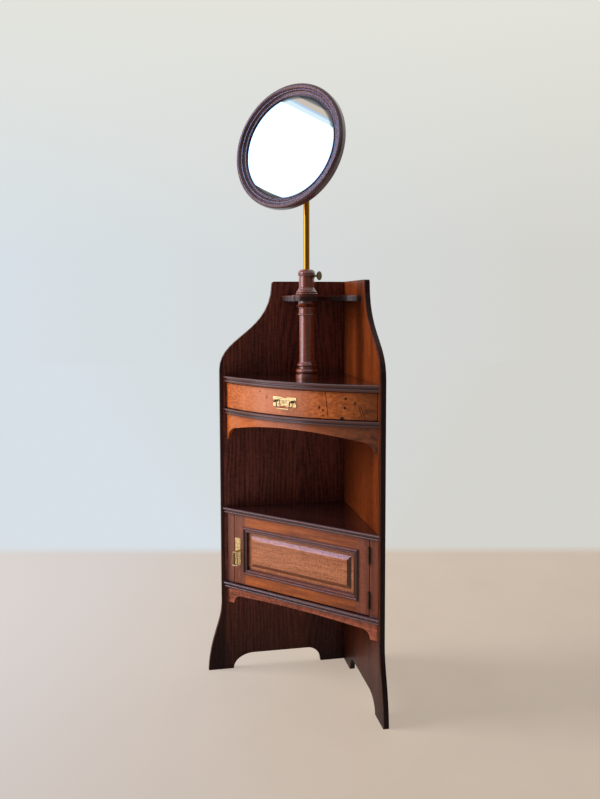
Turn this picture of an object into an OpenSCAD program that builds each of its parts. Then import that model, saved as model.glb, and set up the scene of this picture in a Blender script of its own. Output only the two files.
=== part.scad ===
// Corner shaving stand.
// Two tall back boards meet at a right angle and carry a table top with a bowed drawer,
// a middle shelf over a cupboard with a fielded door, and a small upper shelf.
// A turned column holds a sliding brass rod, and the rod holds a round tilting mirror.
// Lengths are millimetres. The origin is the middle of the plan, on the floor.
// The front faces -Y, the corner points to +Y, and +Z is up.

/* [Back boards] */
// Height of the two back boards
board_h = 1262; // [1200:1:1300]
// Thickness of the back boards
board_t = 17; // [14:0.5:20]
// Width of each board from the corner to its straight front edge
board_w = 408; // [395:1:425]
// Width of each board at its top
board_top_w = 238; // [225:1:260]
// Height at which the shoulder curve meets the straight front edge
shoulder_z = 979.5; // [970:0.5:1000]
// Pull of the shoulder curve at its top
shoulder_pull_top = 168; // [150:1:190]
// How far that pull leans out
shoulder_lean = 4; // [0:0.5:8]
// Pull of the shoulder curve at its foot
shoulder_pull_foot = 113; // [95:1:130]
// Radius of the rounded top corner
board_corner_r = 8; // [3:0.5:15]

/* [Feet] */
// Width of each board at the floor
foot_w = 453; // [435:1:470]
// Height at which the front edge starts to flare
flare_z = 222; // [205:1:240]
// Pull of the flare at its top
flare_pull_top = 64; // [50:1:80]
// Pull of the flare at its foot
flare_pull_foot = 109; // [90:1:120]
// Setback of the flare's lower pull from the foot
flare_tuck = 6; // [0:0.5:12]
// Width of the front foot
front_foot_w = 82; // [66:1:95]
// Width of the rear foot
rear_foot_w = 80; // [60:1:95]
// Height of the arch between the feet
arch_h = 48; // [35:1:60]
// Length of the arch's round at the front foot
arch_front_l = 66; // [45:1:80]
// Length of the arch's round at the rear foot
arch_rear_l = 43; // [30:1:60]

/* [Shelves] */
// Thickness of the shelves
shelf_t = 18; // [16:0.5:20]
// Thickness of the table top
table_t = 22; // [18:0.5:24]
// Height of the upper shelf's top face
upper_z = 1217; // [1200:1:1230]
// Height of the table top's upper face
table_z = 964; // [950:1:980]
// Height of the drawer shelf's top face
drawer_shelf_z = 861; // [845:1:870]
// Height of the middle shelf's top face
middle_z = 539; // [520:1:560]
// Height of the cupboard floor's top face
floor_z = 294; // [280:1:310]
// Projection of the moulded edges past the faces below them
mould_p = 11; // [8:0.5:14]
// Height of the round nosing on the moulded edges
nose_h = 9; // [7:0.5:11]
// Height of the groove under the nosing
quirk_h = 2.5; // [1.5:0.5:4]
// Depth of the groove under the nosing
quirk_d = 5.5; // [4:0.5:7]
// Setback of the lower bead from the nosing
bead_back = 2.5; // [1:0.5:4]
// Setback of the straight shelf edges from the boards' front corners
edge_inset = 4.5; // [2:0.5:10]
// Setback of the bowed edges' ends from the boards' front corners
bow_inset = 7.5; // [4:0.5:12]
// Rise of the bow past its ends
bow_rise = 57; // [45:1:70]

/* [Upper shelf] */
// Length of the upper shelf along each board
upper_reach = 210; // [200:1:215]
// Radius of the round front around the column
bulge_r = 46; // [42:1:52]
// Setback of the shelf's upper and lower arris
arris_in = 3; // [1:0.5:4]
// Height of the shelf's upper and lower arris
arris_h = 3.5; // [2:0.5:5]
// Radius of the shelf's rounded ends
upper_end_r = 9; // [8:0.5:12]

/* [Aprons] */
// Thickness of the two aprons
apron_t = 15; // [12:0.5:18]
// Depth of the upper apron at its middle
upper_apron_mid = 19; // [12:1:30]
// Depth of the upper apron where its round ends start
upper_apron_spring = 40; // [32:1:50]
// Depth of the upper apron at its tips
upper_apron_tip = 81; // [70:1:95]
// Width of the upper apron's tips
upper_tip_w = 9; // [6:0.5:14]
// Length of the round ends of the upper apron
upper_round_l = 50; // [35:1:65]
// Depth of the lower apron at its middle
lower_apron_mid = 18; // [16:1:25]
// Depth of the lower apron where its round ends start
lower_apron_spring = 24; // [20:1:30]
// Depth of the lower apron at its tips
lower_apron_tip = 50; // [42:1:60]
// Width of the lower apron's tips
lower_tip_w = 23; // [15:0.5:30]
// Length of the round ends of the lower apron
lower_round_l = 26; // [20:1:36]
// Side of the glue blocks behind the aprons
block_s = 12; // [9:0.5:14]
// Length of the glue blocks
block_l = 40; // [25:1:60]
// Distance of the outer glue blocks from the middle
block_x = 150; // [120:1:180]

/* [Drawer] */
// Thickness of the drawer front
drawer_front_t = 20; // [16:0.5:22]
// Gap around the drawer front
drawer_gap = 1.5; // [1:0.25:2.5]
// Outside width of the drawer box
drawer_w = 320; // [300:1:330]
// Thickness of the drawer sides and back
drawer_side_t = 10; // [8:0.5:12]
// Height of the drawer sides
drawer_side_h = 60; // [50:1:66]
// Height of the drawer back
drawer_back_h = 48; // [40:1:50]
// Thickness of the drawer bottom
drawer_bottom_t = 6; // [4:0.5:8]
// Height of the drawer bottom above the sides' lower edges
drawer_bottom_z = 5; // [3:0.5:8]
// Distance of the drawer's back from the corner
drawer_back_y = 174; // [170:1:185]
// Side clearance between the drawer and its guides
guide_gap = 0.5; // [0.3:0.1:1]
// Width of the drawer guides
guide_w = 14; // [10:0.5:16]
// Height of the drawer guides
guide_h = 20; // [14:0.5:30]
// Width of the kicker strips above the drawer sides
kicker_w = 20; // [14:0.5:24]
// Clearance between the drawer sides and the kickers
kicker_gap = 1; // [0.5:0.1:2]

/* [Drawer handle] */
// Sideways place of the handle, from the middle of the drawer front
handle_x = -9; // [-15:0.5:15]
// Length of the handle's back plate
plate_l = 84; // [78:1:95]
// Height of the handle's back plate
plate_h = 28; // [24:0.5:34]
// Thickness of the brass plates
plate_t = 1.5; // [1:0.1:2.5]
// Distance between the two posts
post_gap = 60; // [52:1:66]
// Radius of the posts
post_r = 4; // [3.5:0.1:5]
// Length of the posts in front of the plate
post_l = 12; // [10:0.5:15]
// Radius of the posts' threaded shanks
shank_r = 2; // [1.5:0.1:2.5]
// Height of the posts above the middle of the drawer front
post_up = 4; // [0:0.5:6]
// Radius of the bail's wire
bail_r = 1.9; // [1.5:0.1:2.2]
// Drop of the bail below the posts
bail_drop = 22; // [18:0.5:28]
// Length of the bail's lower bar
bail_l = 42; // [34:1:46]
// Side of the square nuts inside the drawer
nut_s = 9; // [7:0.5:12]

/* [Door] */
// Visible width of the fixed stiles beside the door
fixed_stile_w = 24.5; // [20:0.5:30]
// Gap at the sides of the door
door_side_gap = 2.5; // [2.4:0.1:3.5]
// Gap above and below the door
door_end_gap = 2.2; // [1.5:0.1:3]
// Thickness of the door frame
door_t = 20; // [18:0.5:22]
// Visible width of the door's stiles and rails outside the moulding
door_margin = 34; // [30:0.5:40]
// Width of the moulding around the panel
moulding_w = 18; // [15:0.5:22]
// How far the moulding laps over the door frame
moulding_lap = 8; // [5:0.5:10]
// How far the moulding stands out of the door frame
moulding_out = 5.5; // [4:0.5:8]
// Depth of the panel's flat margin below the door frame's face
panel_sink = 7; // [5:0.5:8]
// Thickness of the panel at its flat margin
panel_t = 8; // [6:0.5:9]
// How far the panel runs into the grooves of the frame
panel_tongue = 5; // [3:0.5:8]
// Width of the panel's flat margin
panel_flat = 10; // [7:0.5:14]
// Width of the panel's bevel
bevel_w = 12; // [8:0.5:16]
// Height of the raised field over the flat margin
field_h = 6; // [3:0.5:6.5]
// Length of the rails' tenons
tenon_l = 22; // [15:1:28]
// Thickness of the rails' tenons
tenon_t = 6; // [5:0.5:6.5]
// Width left of the rails at each side of their tenons
tenon_in = 9; // [7:0.5:11]

/* [Hinges] */
// Length of the hinges
hinge_l = 50; // [40:1:60]
// Distance of the hinges' middles from the door's ends
hinge_in = 45; // [35:1:60]
// Radius of the hinge knuckles
knuckle_r = 3; // [2.6:0.1:3.5]
// Radius of the hinge pins
pin_r = 1.5; // [1.2:0.1:1.8]
// Thickness of the hinge leaves
leaf_t = 1.05; // [0.9:0.05:1.1]
// Width of the hinge leaves behind the door's face
leaf_w = 17; // [13:0.5:19]
// Running clearance on the radius of pins, rods and screws
run_gap = 0.05; // [0.03:0.01:0.08]
// Clearance between moving pieces that don't bear on each other
free_gap = 0.4; // [0.3:0.05:0.6]

/* [Door fittings] */
// Width of the door's back plate
latch_w = 22; // [18:0.5:26]
// Height of the door's back plate
latch_h = 88; // [75:1:100]
// Distance of the back plate's middle from the door's edge
latch_in = 14; // [13.5:0.5:17]
// Height of the back plate's middle below the door's middle
latch_down = 7; // [0:1:20]
// Length of the stud that carries the ring
stud_l = 19; // [14:0.5:22]
// Radius of the stud
stud_r = 3.4; // [3:0.1:3.8]
// Height of the stud above the back plate's middle
stud_up = 1; // [0:1:15]
// Radius of the ring's wire
ring_r = 1.9; // [1.5:0.1:2.2]
// Width of the ring at its top
ring_top = 14.5; // [13:0.5:17]
// Width of the ring at its foot
ring_foot = 23; // [18:0.5:26]
// Drop of the ring
ring_drop = 43; // [34:1:50]
// Radius of the ball catch's barrel
catch_r = 4; // [3:0.1:5]
// Length of the ball catch's barrel
catch_l = 12; // [8:0.5:16]
// Radius of the ball in the catch
ball_r = 2.8; // [2:0.1:3.5]
// Height of the ball catch above the door's middle
catch_up = 66; // [50:1:80]

/* [Column] */
// Distance of the column's axis from the corner
column_y = 222; // [215:0.5:230]
// Radius of the column's shaft
shaft_r = 23.5; // [21:0.5:26]
// Taper of the shaft towards its top
shaft_taper = 1.2; // [0:0.1:3]
// Radius of the column's foot
column_foot_r = 33.5; // [30:0.5:37]
// Radius of the column's small rings
ring_out_r = 27; // [27:0.5:29]
// Radius of the column's neck
neck_r = 23.5; // [22:0.5:25]
// Radius of the cap
cap_r = 26.5; // [26:0.5:29]
// Height of the cap's dome
dome_h = 14; // [10:0.5:16]
// Height of the column above the upper shelf
neck_h = 77; // [70:1:90]
// Radius of the tenon between shaft and neck
tenon_r = 16; // [15:0.25:18]
// Height of the tenon above the upper shelf
tenon_up = 12; // [8:0.5:20]
// Radius of the tenon in the table top
foot_tenon_r = 12; // [9:0.5:15]

/* [Rod and clamp] */
// Radius of the brass rod
rod_r = 9.5; // [8:0.25:10]
// Length of the rod
rod_l = 430; // [410:1:450]
// Wall of the brass tube that lines the column
tube_t = 1.2; // [0.8:0.1:1.5]
// Depth of the rod in the column at rest
rod_in = 84; // [74:1:100]
// How far the rod can be lowered
rod_down = 140; // [110:1:142]
// Height of the clamp screw below the column's top
clamp_down = 20; // [18:1:30]
// Radius of the clamp screw
clamp_r = 3; // [2.5:0.1:3.5]
// Radius of the clamp's threaded bush
clamp_bush_r = 5; // [4.5:0.1:6]
// Distance of the knob's outer face from the rod's axis
knob_x = 47; // [43:0.5:52]
// Radius of the knob
knob_r = 13.5; // [11:0.5:16]
// Thickness of the knob at its rim
knob_t = 3.5; // [2.5:0.5:5]

/* [Mirror] */
// Outer radius of the mirror frame
mirror_r = 184; // [175:1:190]
// Depth of the mirror frame
mirror_d = 25; // [22:0.5:28]
// Width of the mirror frame's face
frame_face_w = 33.5; // [30:0.5:37]
// Radius of the frame's outer round
rim_r = 8.5; // [7.5:0.5:9]
// Depth of the step inside the outer round, below the frame's front
rim_step = 6; // [4:0.5:7]
// Width of that step
rim_step_w = 3; // [2:0.5:4]
// Radius of the frame's inner bead
inner_bead_r = 2.4; // [2:0.1:2.5]
// Depth of the inner bead's middle below the frame's front
inner_bead_sink = 12.5; // [12:0.1:12.6]
// Thickness of the glass
glass_t = 4; // [3:0.5:5]
// Thickness of the back board
back_t = 5.5; // [4:0.5:6.5]
// Upward tilt of the mirror at rest, in degrees
rest_tilt = 10.6; // [0:0.1:20]
// Distance of the tilt pivot in front of the rod's axis
pivot_out = 40; // [36:0.5:46]
// Distance of the frame's front from the pivot
mirror_reach = 65; // [60:0.5:72]
// Height of the pivot below the rod's top
pivot_down = 8; // [4:0.5:14]
// Radius of the round plate on the mirror's back
boss_plate_r = 34; // [30:0.5:40]
// Thickness of the round plate
boss_plate_t = 3; // [2:0.5:4]
// Thickness of the tongue between the fork's cheeks
tongue_t = 8; // [6:0.5:10]
// Radius of the tongue's and the cheeks' round ends
tongue_r = 9; // [8:0.5:10]
// Thickness of the fork's cheeks
cheek_t = 5; // [4:0.5:6]
// Radius of the pivot bolt
bolt_r = 3; // [2.5:0.1:3.5]
// Radius of the socket that turns on the rod
socket_r = 13.5; // [12.5:0.5:15]
// Length of the socket over the rod
socket_l = 40; // [32:1:48]

/* [Screws] */
// Diameter of the wood screws in the boards
screw_d = 4.5; // [3.5:0.1:5]
// Length of the wood screws in the boards
screw_l = 42; // [34:1:50]
// Distance of the rear screws from the corner
screw_rear = 70; // [60:1:90]
// Distance of the front screws from the corner
screw_front = 330; // [300:1:350]
// Distance of the upper shelf's front screws from the corner
screw_upper = 165; // [140:1:180]
// Diameter of the small screws
small_screw_d = 3; // [2.5:0.1:3.2]
// Length of the small screws
small_screw_l = 10; // [8:0.5:12]
// Number of screws in the mirror's back
back_screws = 8; // [6:1:12]

/* [Hidden] */
$fn = 64;

// Colours of the woods and metals
dark_mahogany = [0.25, 0.09, 0.06];
warm_mahogany = [0.42, 0.18, 0.09];
light_mahogany = [0.62, 0.31, 0.14];
edge_mahogany = [0.33, 0.14, 0.10];
drawer_pine = [0.66, 0.48, 0.29];
bright_brass = [0.83, 0.62, 0.18];
old_brass = [0.70, 0.58, 0.33];
dark_brass = [0.33, 0.26, 0.15];
steel_grey = [0.45, 0.44, 0.42];
glass_colour = [0.90, 0.93, 0.95];

// Cuts run past the faces that they open by this much
cut = 1;
// A moving piece rests this far above what carries it
rest_gap = 0.3;
// Pieces of one body that fit round each other keep this much on the radius
seat_gap = 0.02;
// A bent wire is this many times thicker in its bends
bend_swell = 1.04;
// Steps of the curved outlines
curve_steps = 14;
arch_steps = 8;

// Plan of the stand, seen from the inner corner of the boards
chord_y = board_w / sqrt(2);
edge_y = chord_y - edge_inset;
face_y = edge_y - mould_p;
bow_end = chord_y - bow_inset;
bow_r = (pow(bow_end, 2) + pow(bow_rise, 2)) / (2 * bow_rise);
bow_cy = bow_r - bow_end - bow_rise;
bow_face_r = bow_r - mould_p;
plan_l = foot_w * 2;

// Heights of the pieces between the shelves
drawer_top_z = table_z - table_t;
drawer_low_z = drawer_shelf_z - shelf_t;
cupboard_top_z = middle_z - shelf_t;
apron_low_z = floor_z - shelf_t;
upper_low_z = upper_z - shelf_t;
column_top_z = upper_z + neck_h;
dome_z = column_top_z - dome_h;

// Door
door_w = 2 * (face_y - fixed_stile_w - door_side_gap);
door_low_z = floor_z + door_end_gap;
door_high_z = cupboard_top_z - door_end_gap;
door_mid_z = (door_low_z + door_high_z) / 2;
door_h = door_high_z - door_low_z;
frame_w = door_margin + moulding_lap;
opening_w = door_w - 2 * frame_w;
opening_h = door_h - 2 * frame_w;
hinge_x = door_w / 2 + door_side_gap / 2;
hinge_y = face_y + knuckle_r + free_gap;
knuckle_l = hinge_l / 3;
latch_x = -door_w / 2 + latch_in;
latch_z = door_mid_z - latch_down;
stud_z = latch_z + stud_up;
ring_y = face_y + plate_t + stud_l - stud_r;

// Drawer
drawer_rest_z = drawer_shelf_z + rest_gap;
front_low_z = drawer_shelf_z + drawer_gap;
front_high_z = drawer_top_z - drawer_gap;
post_z = (front_low_z + front_high_z) / 2 + post_up;
handle_turn = asin(handle_x / bow_face_r);
plate_r = bow_face_r + plate_t;
post_seat_y = bow_y(plate_r, post_gap / 2 - post_r);
bail_y = post_seat_y + post_l - post_r;
front_back_r = bow_face_r - drawer_front_t;
guide_x = drawer_w / 2 + guide_gap;
strip_front_y = bow_y(front_back_r, guide_x + guide_w) - 2 * drawer_gap;

// Rod, clamp and mirror
sight_r = mirror_r - frame_face_w;
rod_low_z = column_top_z - rod_in;
rod_high_z = rod_low_z + rod_l;
bore_low_z = rod_low_z - rod_down - rest_gap;
tube_in_r = rod_r + run_gap;
tube_out_r = tube_in_r + tube_t;
clamp_z = column_top_z - clamp_down;
pivot_y = column_y + pivot_out;
pivot_z = rod_high_z - pivot_down;
socket_low_z = rod_high_z - socket_l;
frame_back = mirror_reach - mirror_d;
plate_back = frame_back + (mirror_d - back_t - glass_t) / 2 - mirror_d / 4 - boss_plate_t;
cheek_x = tongue_t / 2 + rest_gap;
web_y = pivot_y - tongue_r - 2 * cut;

// The plan's middle is the origin
mirror_front_y = pivot_y + mirror_reach * cos(rest_tilt) + mirror_r * sin(rest_tilt);
corner_y = (mirror_front_y - board_t * sqrt(2)) / 2;

// Distance in front of the corner of an arc of the bow at a distance from the middle
function bow_y(r, x) = sqrt(r * r - x * x) - bow_cy;

// Points of a curve with two pulls
function curve(a, b, c, d, n) = [
    for (i = [0:n])
        let (t = i / n)
        pow(1 - t, 3) * a + 3 * pow(1 - t, 2) * t * b + 3 * (1 - t) * t * t * c + pow(t, 3) * d
];

// Points of a stretch of an ellipse
function oval(centre, rx, ry, a0, a1, n) = [
    for (i = [0:n])
        let (a = a0 + (a1 - a0) * i / n)
        centre + [rx * cos(a), ry * sin(a)]
];

// Side view of a back board: distance from the corner, height
function board_outline(rear) = concat(
    [[rear, board_h]],
    oval([board_top_w - board_corner_r, board_h - board_corner_r], board_corner_r, board_corner_r,
         90, 0, 4),
    curve([board_top_w, board_h - board_corner_r],
          [board_top_w + shoulder_lean, board_h - shoulder_pull_top],
          [board_w, shoulder_z + shoulder_pull_foot], [board_w, shoulder_z], curve_steps),
    curve([board_w, flare_z], [board_w, flare_z - flare_pull_top],
          [foot_w - flare_tuck, flare_pull_foot], [foot_w, 0], arch_steps),
    oval([foot_w - front_foot_w - arch_front_l, 0], arch_front_l, arch_h, 0, 90, arch_steps),
    oval([rear_foot_w + arch_rear_l, 0], arch_rear_l, arch_h, 90, 180, arch_steps),
    [[rear, 0]]
);

// Half width of the open arch under an apron, and its lower edge
function apron_arch(half, round_l, mid_z, spring_z, tip_z) = let (flat = half - round_l) concat(
    [[-half, tip_z - cut]],
    oval([-flat, tip_z], round_l, spring_z - tip_z, 180, 90, arch_steps),
    [for (i = [1 - arch_steps:arch_steps - 1])
        [flat * i / arch_steps, mid_z - (mid_z - spring_z) * pow(i / arch_steps, 2)]],
    oval([flat, tip_z], round_l, spring_z - tip_z, 90, 0, arch_steps),
    [[half, tip_z - cut]]
);

// Everything is drawn from the inner corner, looking out along -Y
module placed() translate([0, corner_y, 0]) children();

// Local frame of the right board: X along the board, Y out through it
module on_right() rotate([0, 0, -45]) children();
module on_left() mirror([1, 0, 0]) on_right() children();

// Space between the boards, kept clear of them by a margin
module between(z0, z1, margin = 0) {
    apex = margin * sqrt(2);
    translate([0, 0, z0]) linear_extrude(z1 - z0)
        polygon([[0, -apex], [plan_l, -apex - plan_l], [-plan_l, -apex - plan_l]]);
}

// A box given by its two corners
module block(a, b) translate(a) cube(b - a);

// A round bar along X, Y or Z from one point
module bar_x(r, l) rotate([0, 90, 0]) cylinder(r = r, h = l);
module bar_y(r, l) rotate([90, 0, 0]) cylinder(r = r, h = l);

// A shape drawn in the X and Z of the front, with a depth towards the back
module front_slab(y, depth) translate([0, -y + depth, 0]) rotate([90, 0, 0])
    linear_extrude(depth) children();

// A ring of the bow between two radii
module bow_ring(r0, r1, z0, z1) translate([0, bow_cy, z0]) difference() {
    cylinder(r = r1, h = z1 - z0, $fn = 180);
    translate([0, 0, -cut]) cylinder(r = r0, h = z1 - z0 + 2 * cut, $fn = 180);
}

// A countersunk screw that points down from its head
module screw(d, l) difference() {
    union() {
        translate([0, 0, -l]) cylinder(r = d / 2, h = l);
        translate([0, 0, -d / 2]) cylinder(r1 = d / 2, r2 = d, h = d / 2);
    }
    translate([-d, -d / 10, -d / 5]) cube([2 * d, d / 5, d]);
}

module screw_hole(d, l) {
    translate([0, 0, -l - cut]) cylinder(r = d / 2 + seat_gap, h = l + 2 * cut);
    translate([0, 0, -d / 2]) cylinder(r1 = d / 2 + seat_gap, r2 = d + seat_gap, h = d / 2);
    cylinder(r = d + seat_gap, h = cut);
}

// Places of the screws through one board into the shelves
module shelf_screw_places() {
    for (z = [table_z - table_t / 2, drawer_low_z + shelf_t / 2, cupboard_top_z + shelf_t / 2,
              apron_low_z + shelf_t / 2])
        for (s = [screw_rear, screw_front])
            translate([s, board_t, z]) rotate([-90, 0, 0]) children();
    for (s = [screw_rear, screw_upper])
        translate([s, board_t, upper_low_z + shelf_t / 2]) rotate([-90, 0, 0]) children();
}

// Places of the screws through the left board into the right board's edge
module corner_screw_places() {
    rows = 5;
    step = (board_h - 2 * screw_rear) / (rows - 1);
    for (i = [0:rows - 1])
        translate([-board_t / 2, board_t, screw_rear + i * step]) rotate([-90, 0, 0]) children();
}

module shelf_screw_holes() {
    on_left() shelf_screw_places() screw_hole(screw_d, screw_l);
    on_right() shelf_screw_places() screw_hole(screw_d, screw_l);
}

// ---- Back boards ----

module left_board() color(dark_mahogany) placed() on_left() difference() {
    translate([0, board_t, 0]) rotate([90, 0, 0]) linear_extrude(board_t)
        polygon(board_outline(-board_t));
    shelf_screw_places() screw_hole(screw_d, screw_l);
    corner_screw_places() screw_hole(screw_d, screw_l);
}

module right_board() color(warm_mahogany) placed() difference() {
    on_right() difference() {
        translate([0, board_t, 0]) rotate([90, 0, 0]) linear_extrude(board_t)
            polygon(board_outline(0));
        shelf_screw_places() screw_hole(screw_d, screw_l);
    }
    on_left() corner_screw_places() screw_hole(screw_d, screw_l);
}

module left_board_screws() color(steel_grey) placed() on_left() {
    shelf_screw_places() screw(screw_d, screw_l);
    corner_screw_places() screw(screw_d, screw_l);
}

module right_board_screws() color(steel_grey) placed() on_right()
    shelf_screw_places() screw(screw_d, screw_l);

// ---- Shelves ----

// Section of a shelf that ends at a moulded edge: a bead, a groove and a round nosing
module edge_section(reach, t) {
    nose_r = nose_h / 2;
    bead_r = (t - nose_h - quirk_h) / 2;
    polygon(concat(
        [[0, 0]],
        oval([reach - bead_back - bead_r, bead_r], bead_r, bead_r, -90, 90, arch_steps),
        [[reach - quirk_d, 2 * bead_r], [reach - quirk_d, t - nose_h]],
        oval([reach - nose_r, t - nose_r], nose_r, nose_r, -90, 90, arch_steps),
        [[0, t]]));
}

module bowed_shelf(z, t) translate([0, 0, z - t]) intersection() {
    translate([0, bow_cy, 0]) rotate_extrude($fn = 180) edge_section(bow_r, t);
    between(-cut, t + cut);
}

module straight_shelf(z, t) translate([0, 0, z - t]) intersection() {
    rotate([0, 0, -90]) rotate([90, 0, 0]) linear_extrude(plan_l, center = true)
        edge_section(edge_y, t);
    between(-cut, t + cut);
}

module table_top() color(edge_mahogany) placed() difference() {
    bowed_shelf(table_z, table_t);
    shelf_screw_holes();
    translate([0, -column_y, drawer_top_z - cut])
        cylinder(r = foot_tenon_r + seat_gap, h = table_t + 2 * cut);
}

module drawer_shelf() color(edge_mahogany) placed() difference() {
    bowed_shelf(drawer_shelf_z, shelf_t);
    shelf_screw_holes();
}

module middle_shelf() color(edge_mahogany) placed() difference() {
    straight_shelf(middle_z, shelf_t);
    shelf_screw_holes();
}

module cupboard_floor() color(edge_mahogany) placed() difference() {
    straight_shelf(floor_z, shelf_t);
    shelf_screw_holes();
}

// Plan of the upper shelf, drawn in from its edge by a setback
module upper_plan(setback) {
    end = (upper_reach - setback) / sqrt(2);
    nose = upper_end_r * sqrt(2);
    r = bulge_r - setback;
    side = curve([-end + nose, -end + setback / 2 - nose / 2], [-(end + r) / 2, -end + setback / 2],
                 [-r, -end], [-r, -column_y], curve_steps);
    polygon(concat(
        [[0, 0], [-end, -end]],
        side,
        [for (i = [len(side) - 1:-1:0]) [-side[i][0], side[i][1]]],
        [[end, -end]]));
    translate([0, -column_y]) circle(r = r);
}

module upper_shelf() color(edge_mahogany) placed() difference() {
    union() {
        translate([0, 0, upper_low_z]) linear_extrude(shelf_t) upper_plan(arris_in);
        translate([0, 0, upper_low_z + arris_h / 2]) linear_extrude(shelf_t - arris_h)
            upper_plan(arris_in / 3);
        translate([0, 0, upper_low_z + arris_h]) linear_extrude(shelf_t - 2 * arris_h)
            upper_plan(0);
    }
    shelf_screw_holes();
    translate([0, -column_y, upper_low_z - cut])
        cylinder(r = tenon_r + seat_gap, h = shelf_t + 2 * cut);
}

// ---- Aprons and fixed stiles ----

module upper_apron() color(light_mahogany) placed() difference() {
    half = bow_end - mould_p / 2 - upper_tip_w;
    tip_z = drawer_low_z - upper_apron_tip;
    intersection() {
        bow_ring(bow_face_r - apron_t, bow_face_r, tip_z, drawer_low_z);
        between(tip_z - cut, drawer_low_z + cut);
    }
    front_slab(plan_l, plan_l) polygon(apron_arch(half, upper_round_l,
        drawer_low_z - upper_apron_mid, drawer_low_z - upper_apron_spring, tip_z));
}

module upper_apron_blocks() color(drawer_pine) placed() intersection() {
    for (x = [-block_x, 0, block_x])
        let (y = bow_y(bow_face_r - apron_t, x))
        block([x - block_l / 2, -y - block_s, drawer_low_z - block_s],
              [x + block_l / 2, -y + block_s, drawer_low_z]);
    translate([0, bow_cy, 0]) cylinder(r = bow_face_r - apron_t, h = drawer_low_z, $fn = 180);
}

module lower_apron() color(light_mahogany) placed() difference() {
    tip_z = apron_low_z - lower_apron_tip;
    intersection() {
        block([-face_y, -face_y, tip_z], [face_y, -face_y + apron_t, apron_low_z]);
        between(tip_z - cut, apron_low_z + cut);
    }
    front_slab(plan_l, plan_l) polygon(apron_arch(face_y - lower_tip_w, lower_round_l,
        apron_low_z - lower_apron_mid, apron_low_z - lower_apron_spring, tip_z));
}

module lower_apron_blocks() color(drawer_pine) placed()
    for (x = [-block_x, 0, block_x])
        block([x - block_l / 2, -face_y + apron_t, apron_low_z - block_s],
              [x + block_l / 2, -face_y + apron_t + block_s, apron_low_z]);

module right_stile_blank() intersection() {
    block([face_y - fixed_stile_w, -face_y, floor_z], [face_y, -face_y + door_t, cupboard_top_z]);
    between(floor_z - cut, cupboard_top_z + cut);
}

module left_fixed_stile() color(warm_mahogany) placed() difference() {
    mirror([1, 0, 0]) right_stile_blank();
    catch_plate_slab(seat_gap);
}

module right_fixed_stile() color(warm_mahogany) placed() difference() {
    right_stile_blank();
    hinge_frame_screw_places() screw_hole(small_screw_d, small_screw_l);
}

// ---- Drawer ----

module drawer_guides() color(drawer_pine) placed()
    for (side = [0, 1]) mirror([side, 0, 0])
        block([guide_x, -strip_front_y, drawer_shelf_z],
              [guide_x + guide_w, -guide_x - guide_w - 2 * drawer_gap, drawer_shelf_z + guide_h]);

module drawer_kickers() color(drawer_pine) placed() {
    outer = guide_x + kicker_w / 2;
    for (side = [0, 1]) mirror([side, 0, 0])
        block([outer - kicker_w, -strip_front_y, drawer_rest_z + drawer_side_h + kicker_gap],
              [outer, -outer - 2 * drawer_gap, drawer_top_z]);
}

module drawer_front() color(light_mahogany) placed() difference() {
    intersection() {
        bow_ring(front_back_r, bow_face_r, front_low_z, front_high_z);
        between(front_low_z - cut, front_high_z + cut, drawer_gap);
    }
    at_handle() post_places() translate([0, plan_l / 2, 0])
        bar_y(shank_r + seat_gap, plan_l);
}

// Inside of the drawer front, which the box behind it is cut to
module behind_front(z0, z1) translate([0, bow_cy, z0])
    cylinder(r = front_back_r, h = z1 - z0, $fn = 180);

module drawer_side_blank() intersection() {
    block([drawer_w / 2 - drawer_side_t, -plan_l / 2, drawer_rest_z],
          [drawer_w / 2, -drawer_back_y, drawer_rest_z + drawer_side_h]);
    behind_front(drawer_rest_z - cut, drawer_rest_z + drawer_side_h + cut);
}

module drawer_left_side() color(drawer_pine) placed() mirror([1, 0, 0]) drawer_side_blank();

module drawer_right_side() color(drawer_pine) placed() drawer_side_blank();

module drawer_bottom() color(drawer_pine) placed() intersection() {
    z = drawer_rest_z + drawer_bottom_z;
    block([drawer_side_t - drawer_w / 2, -plan_l / 2, z],
          [drawer_w / 2 - drawer_side_t, -drawer_back_y, z + drawer_bottom_t]);
    behind_front(z - cut, z + drawer_bottom_t + cut);
}

module drawer_back() color(drawer_pine) placed() {
    z = drawer_rest_z + drawer_bottom_z + drawer_bottom_t;
    block([drawer_side_t - drawer_w / 2, -drawer_back_y - drawer_side_t, z],
          [drawer_w / 2 - drawer_side_t, -drawer_back_y, z + drawer_back_h]);
}

// ---- Drawer handle ----

// The handle sits a little to one side, turned round the bow's centre
module at_handle() translate([0, bow_cy, 0]) rotate([0, 0, handle_turn])
    translate([0, -bow_cy, 0]) children();

module post_places()
    for (side = [-1, 1]) translate([side * post_gap / 2, 0, post_z]) children();

// Outline of the back plate: waisted sides, and a shallow dip above and below
module plate_outline() difference() {
    square([plate_l, plate_h], center = true);
    for (side = [-1, 1]) {
        translate([side * (plate_l / 2 + plate_h / 5), 0]) circle(r = plate_h / 3);
        translate([0, side * (plate_h / 2 + plate_l / 3)]) circle(r = plate_l / 2.75);
    }
}

module handle_plate() color(old_brass) placed() at_handle() difference() {
    intersection() {
        bow_ring(bow_face_r, plate_r, post_z - plate_h, post_z + plate_h);
        translate([0, 0, post_z - post_up / 2]) front_slab(plan_l, plan_l) plate_outline();
    }
    post_places() translate([0, plan_l / 2, 0]) bar_y(shank_r + seat_gap, plan_l);
}

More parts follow.
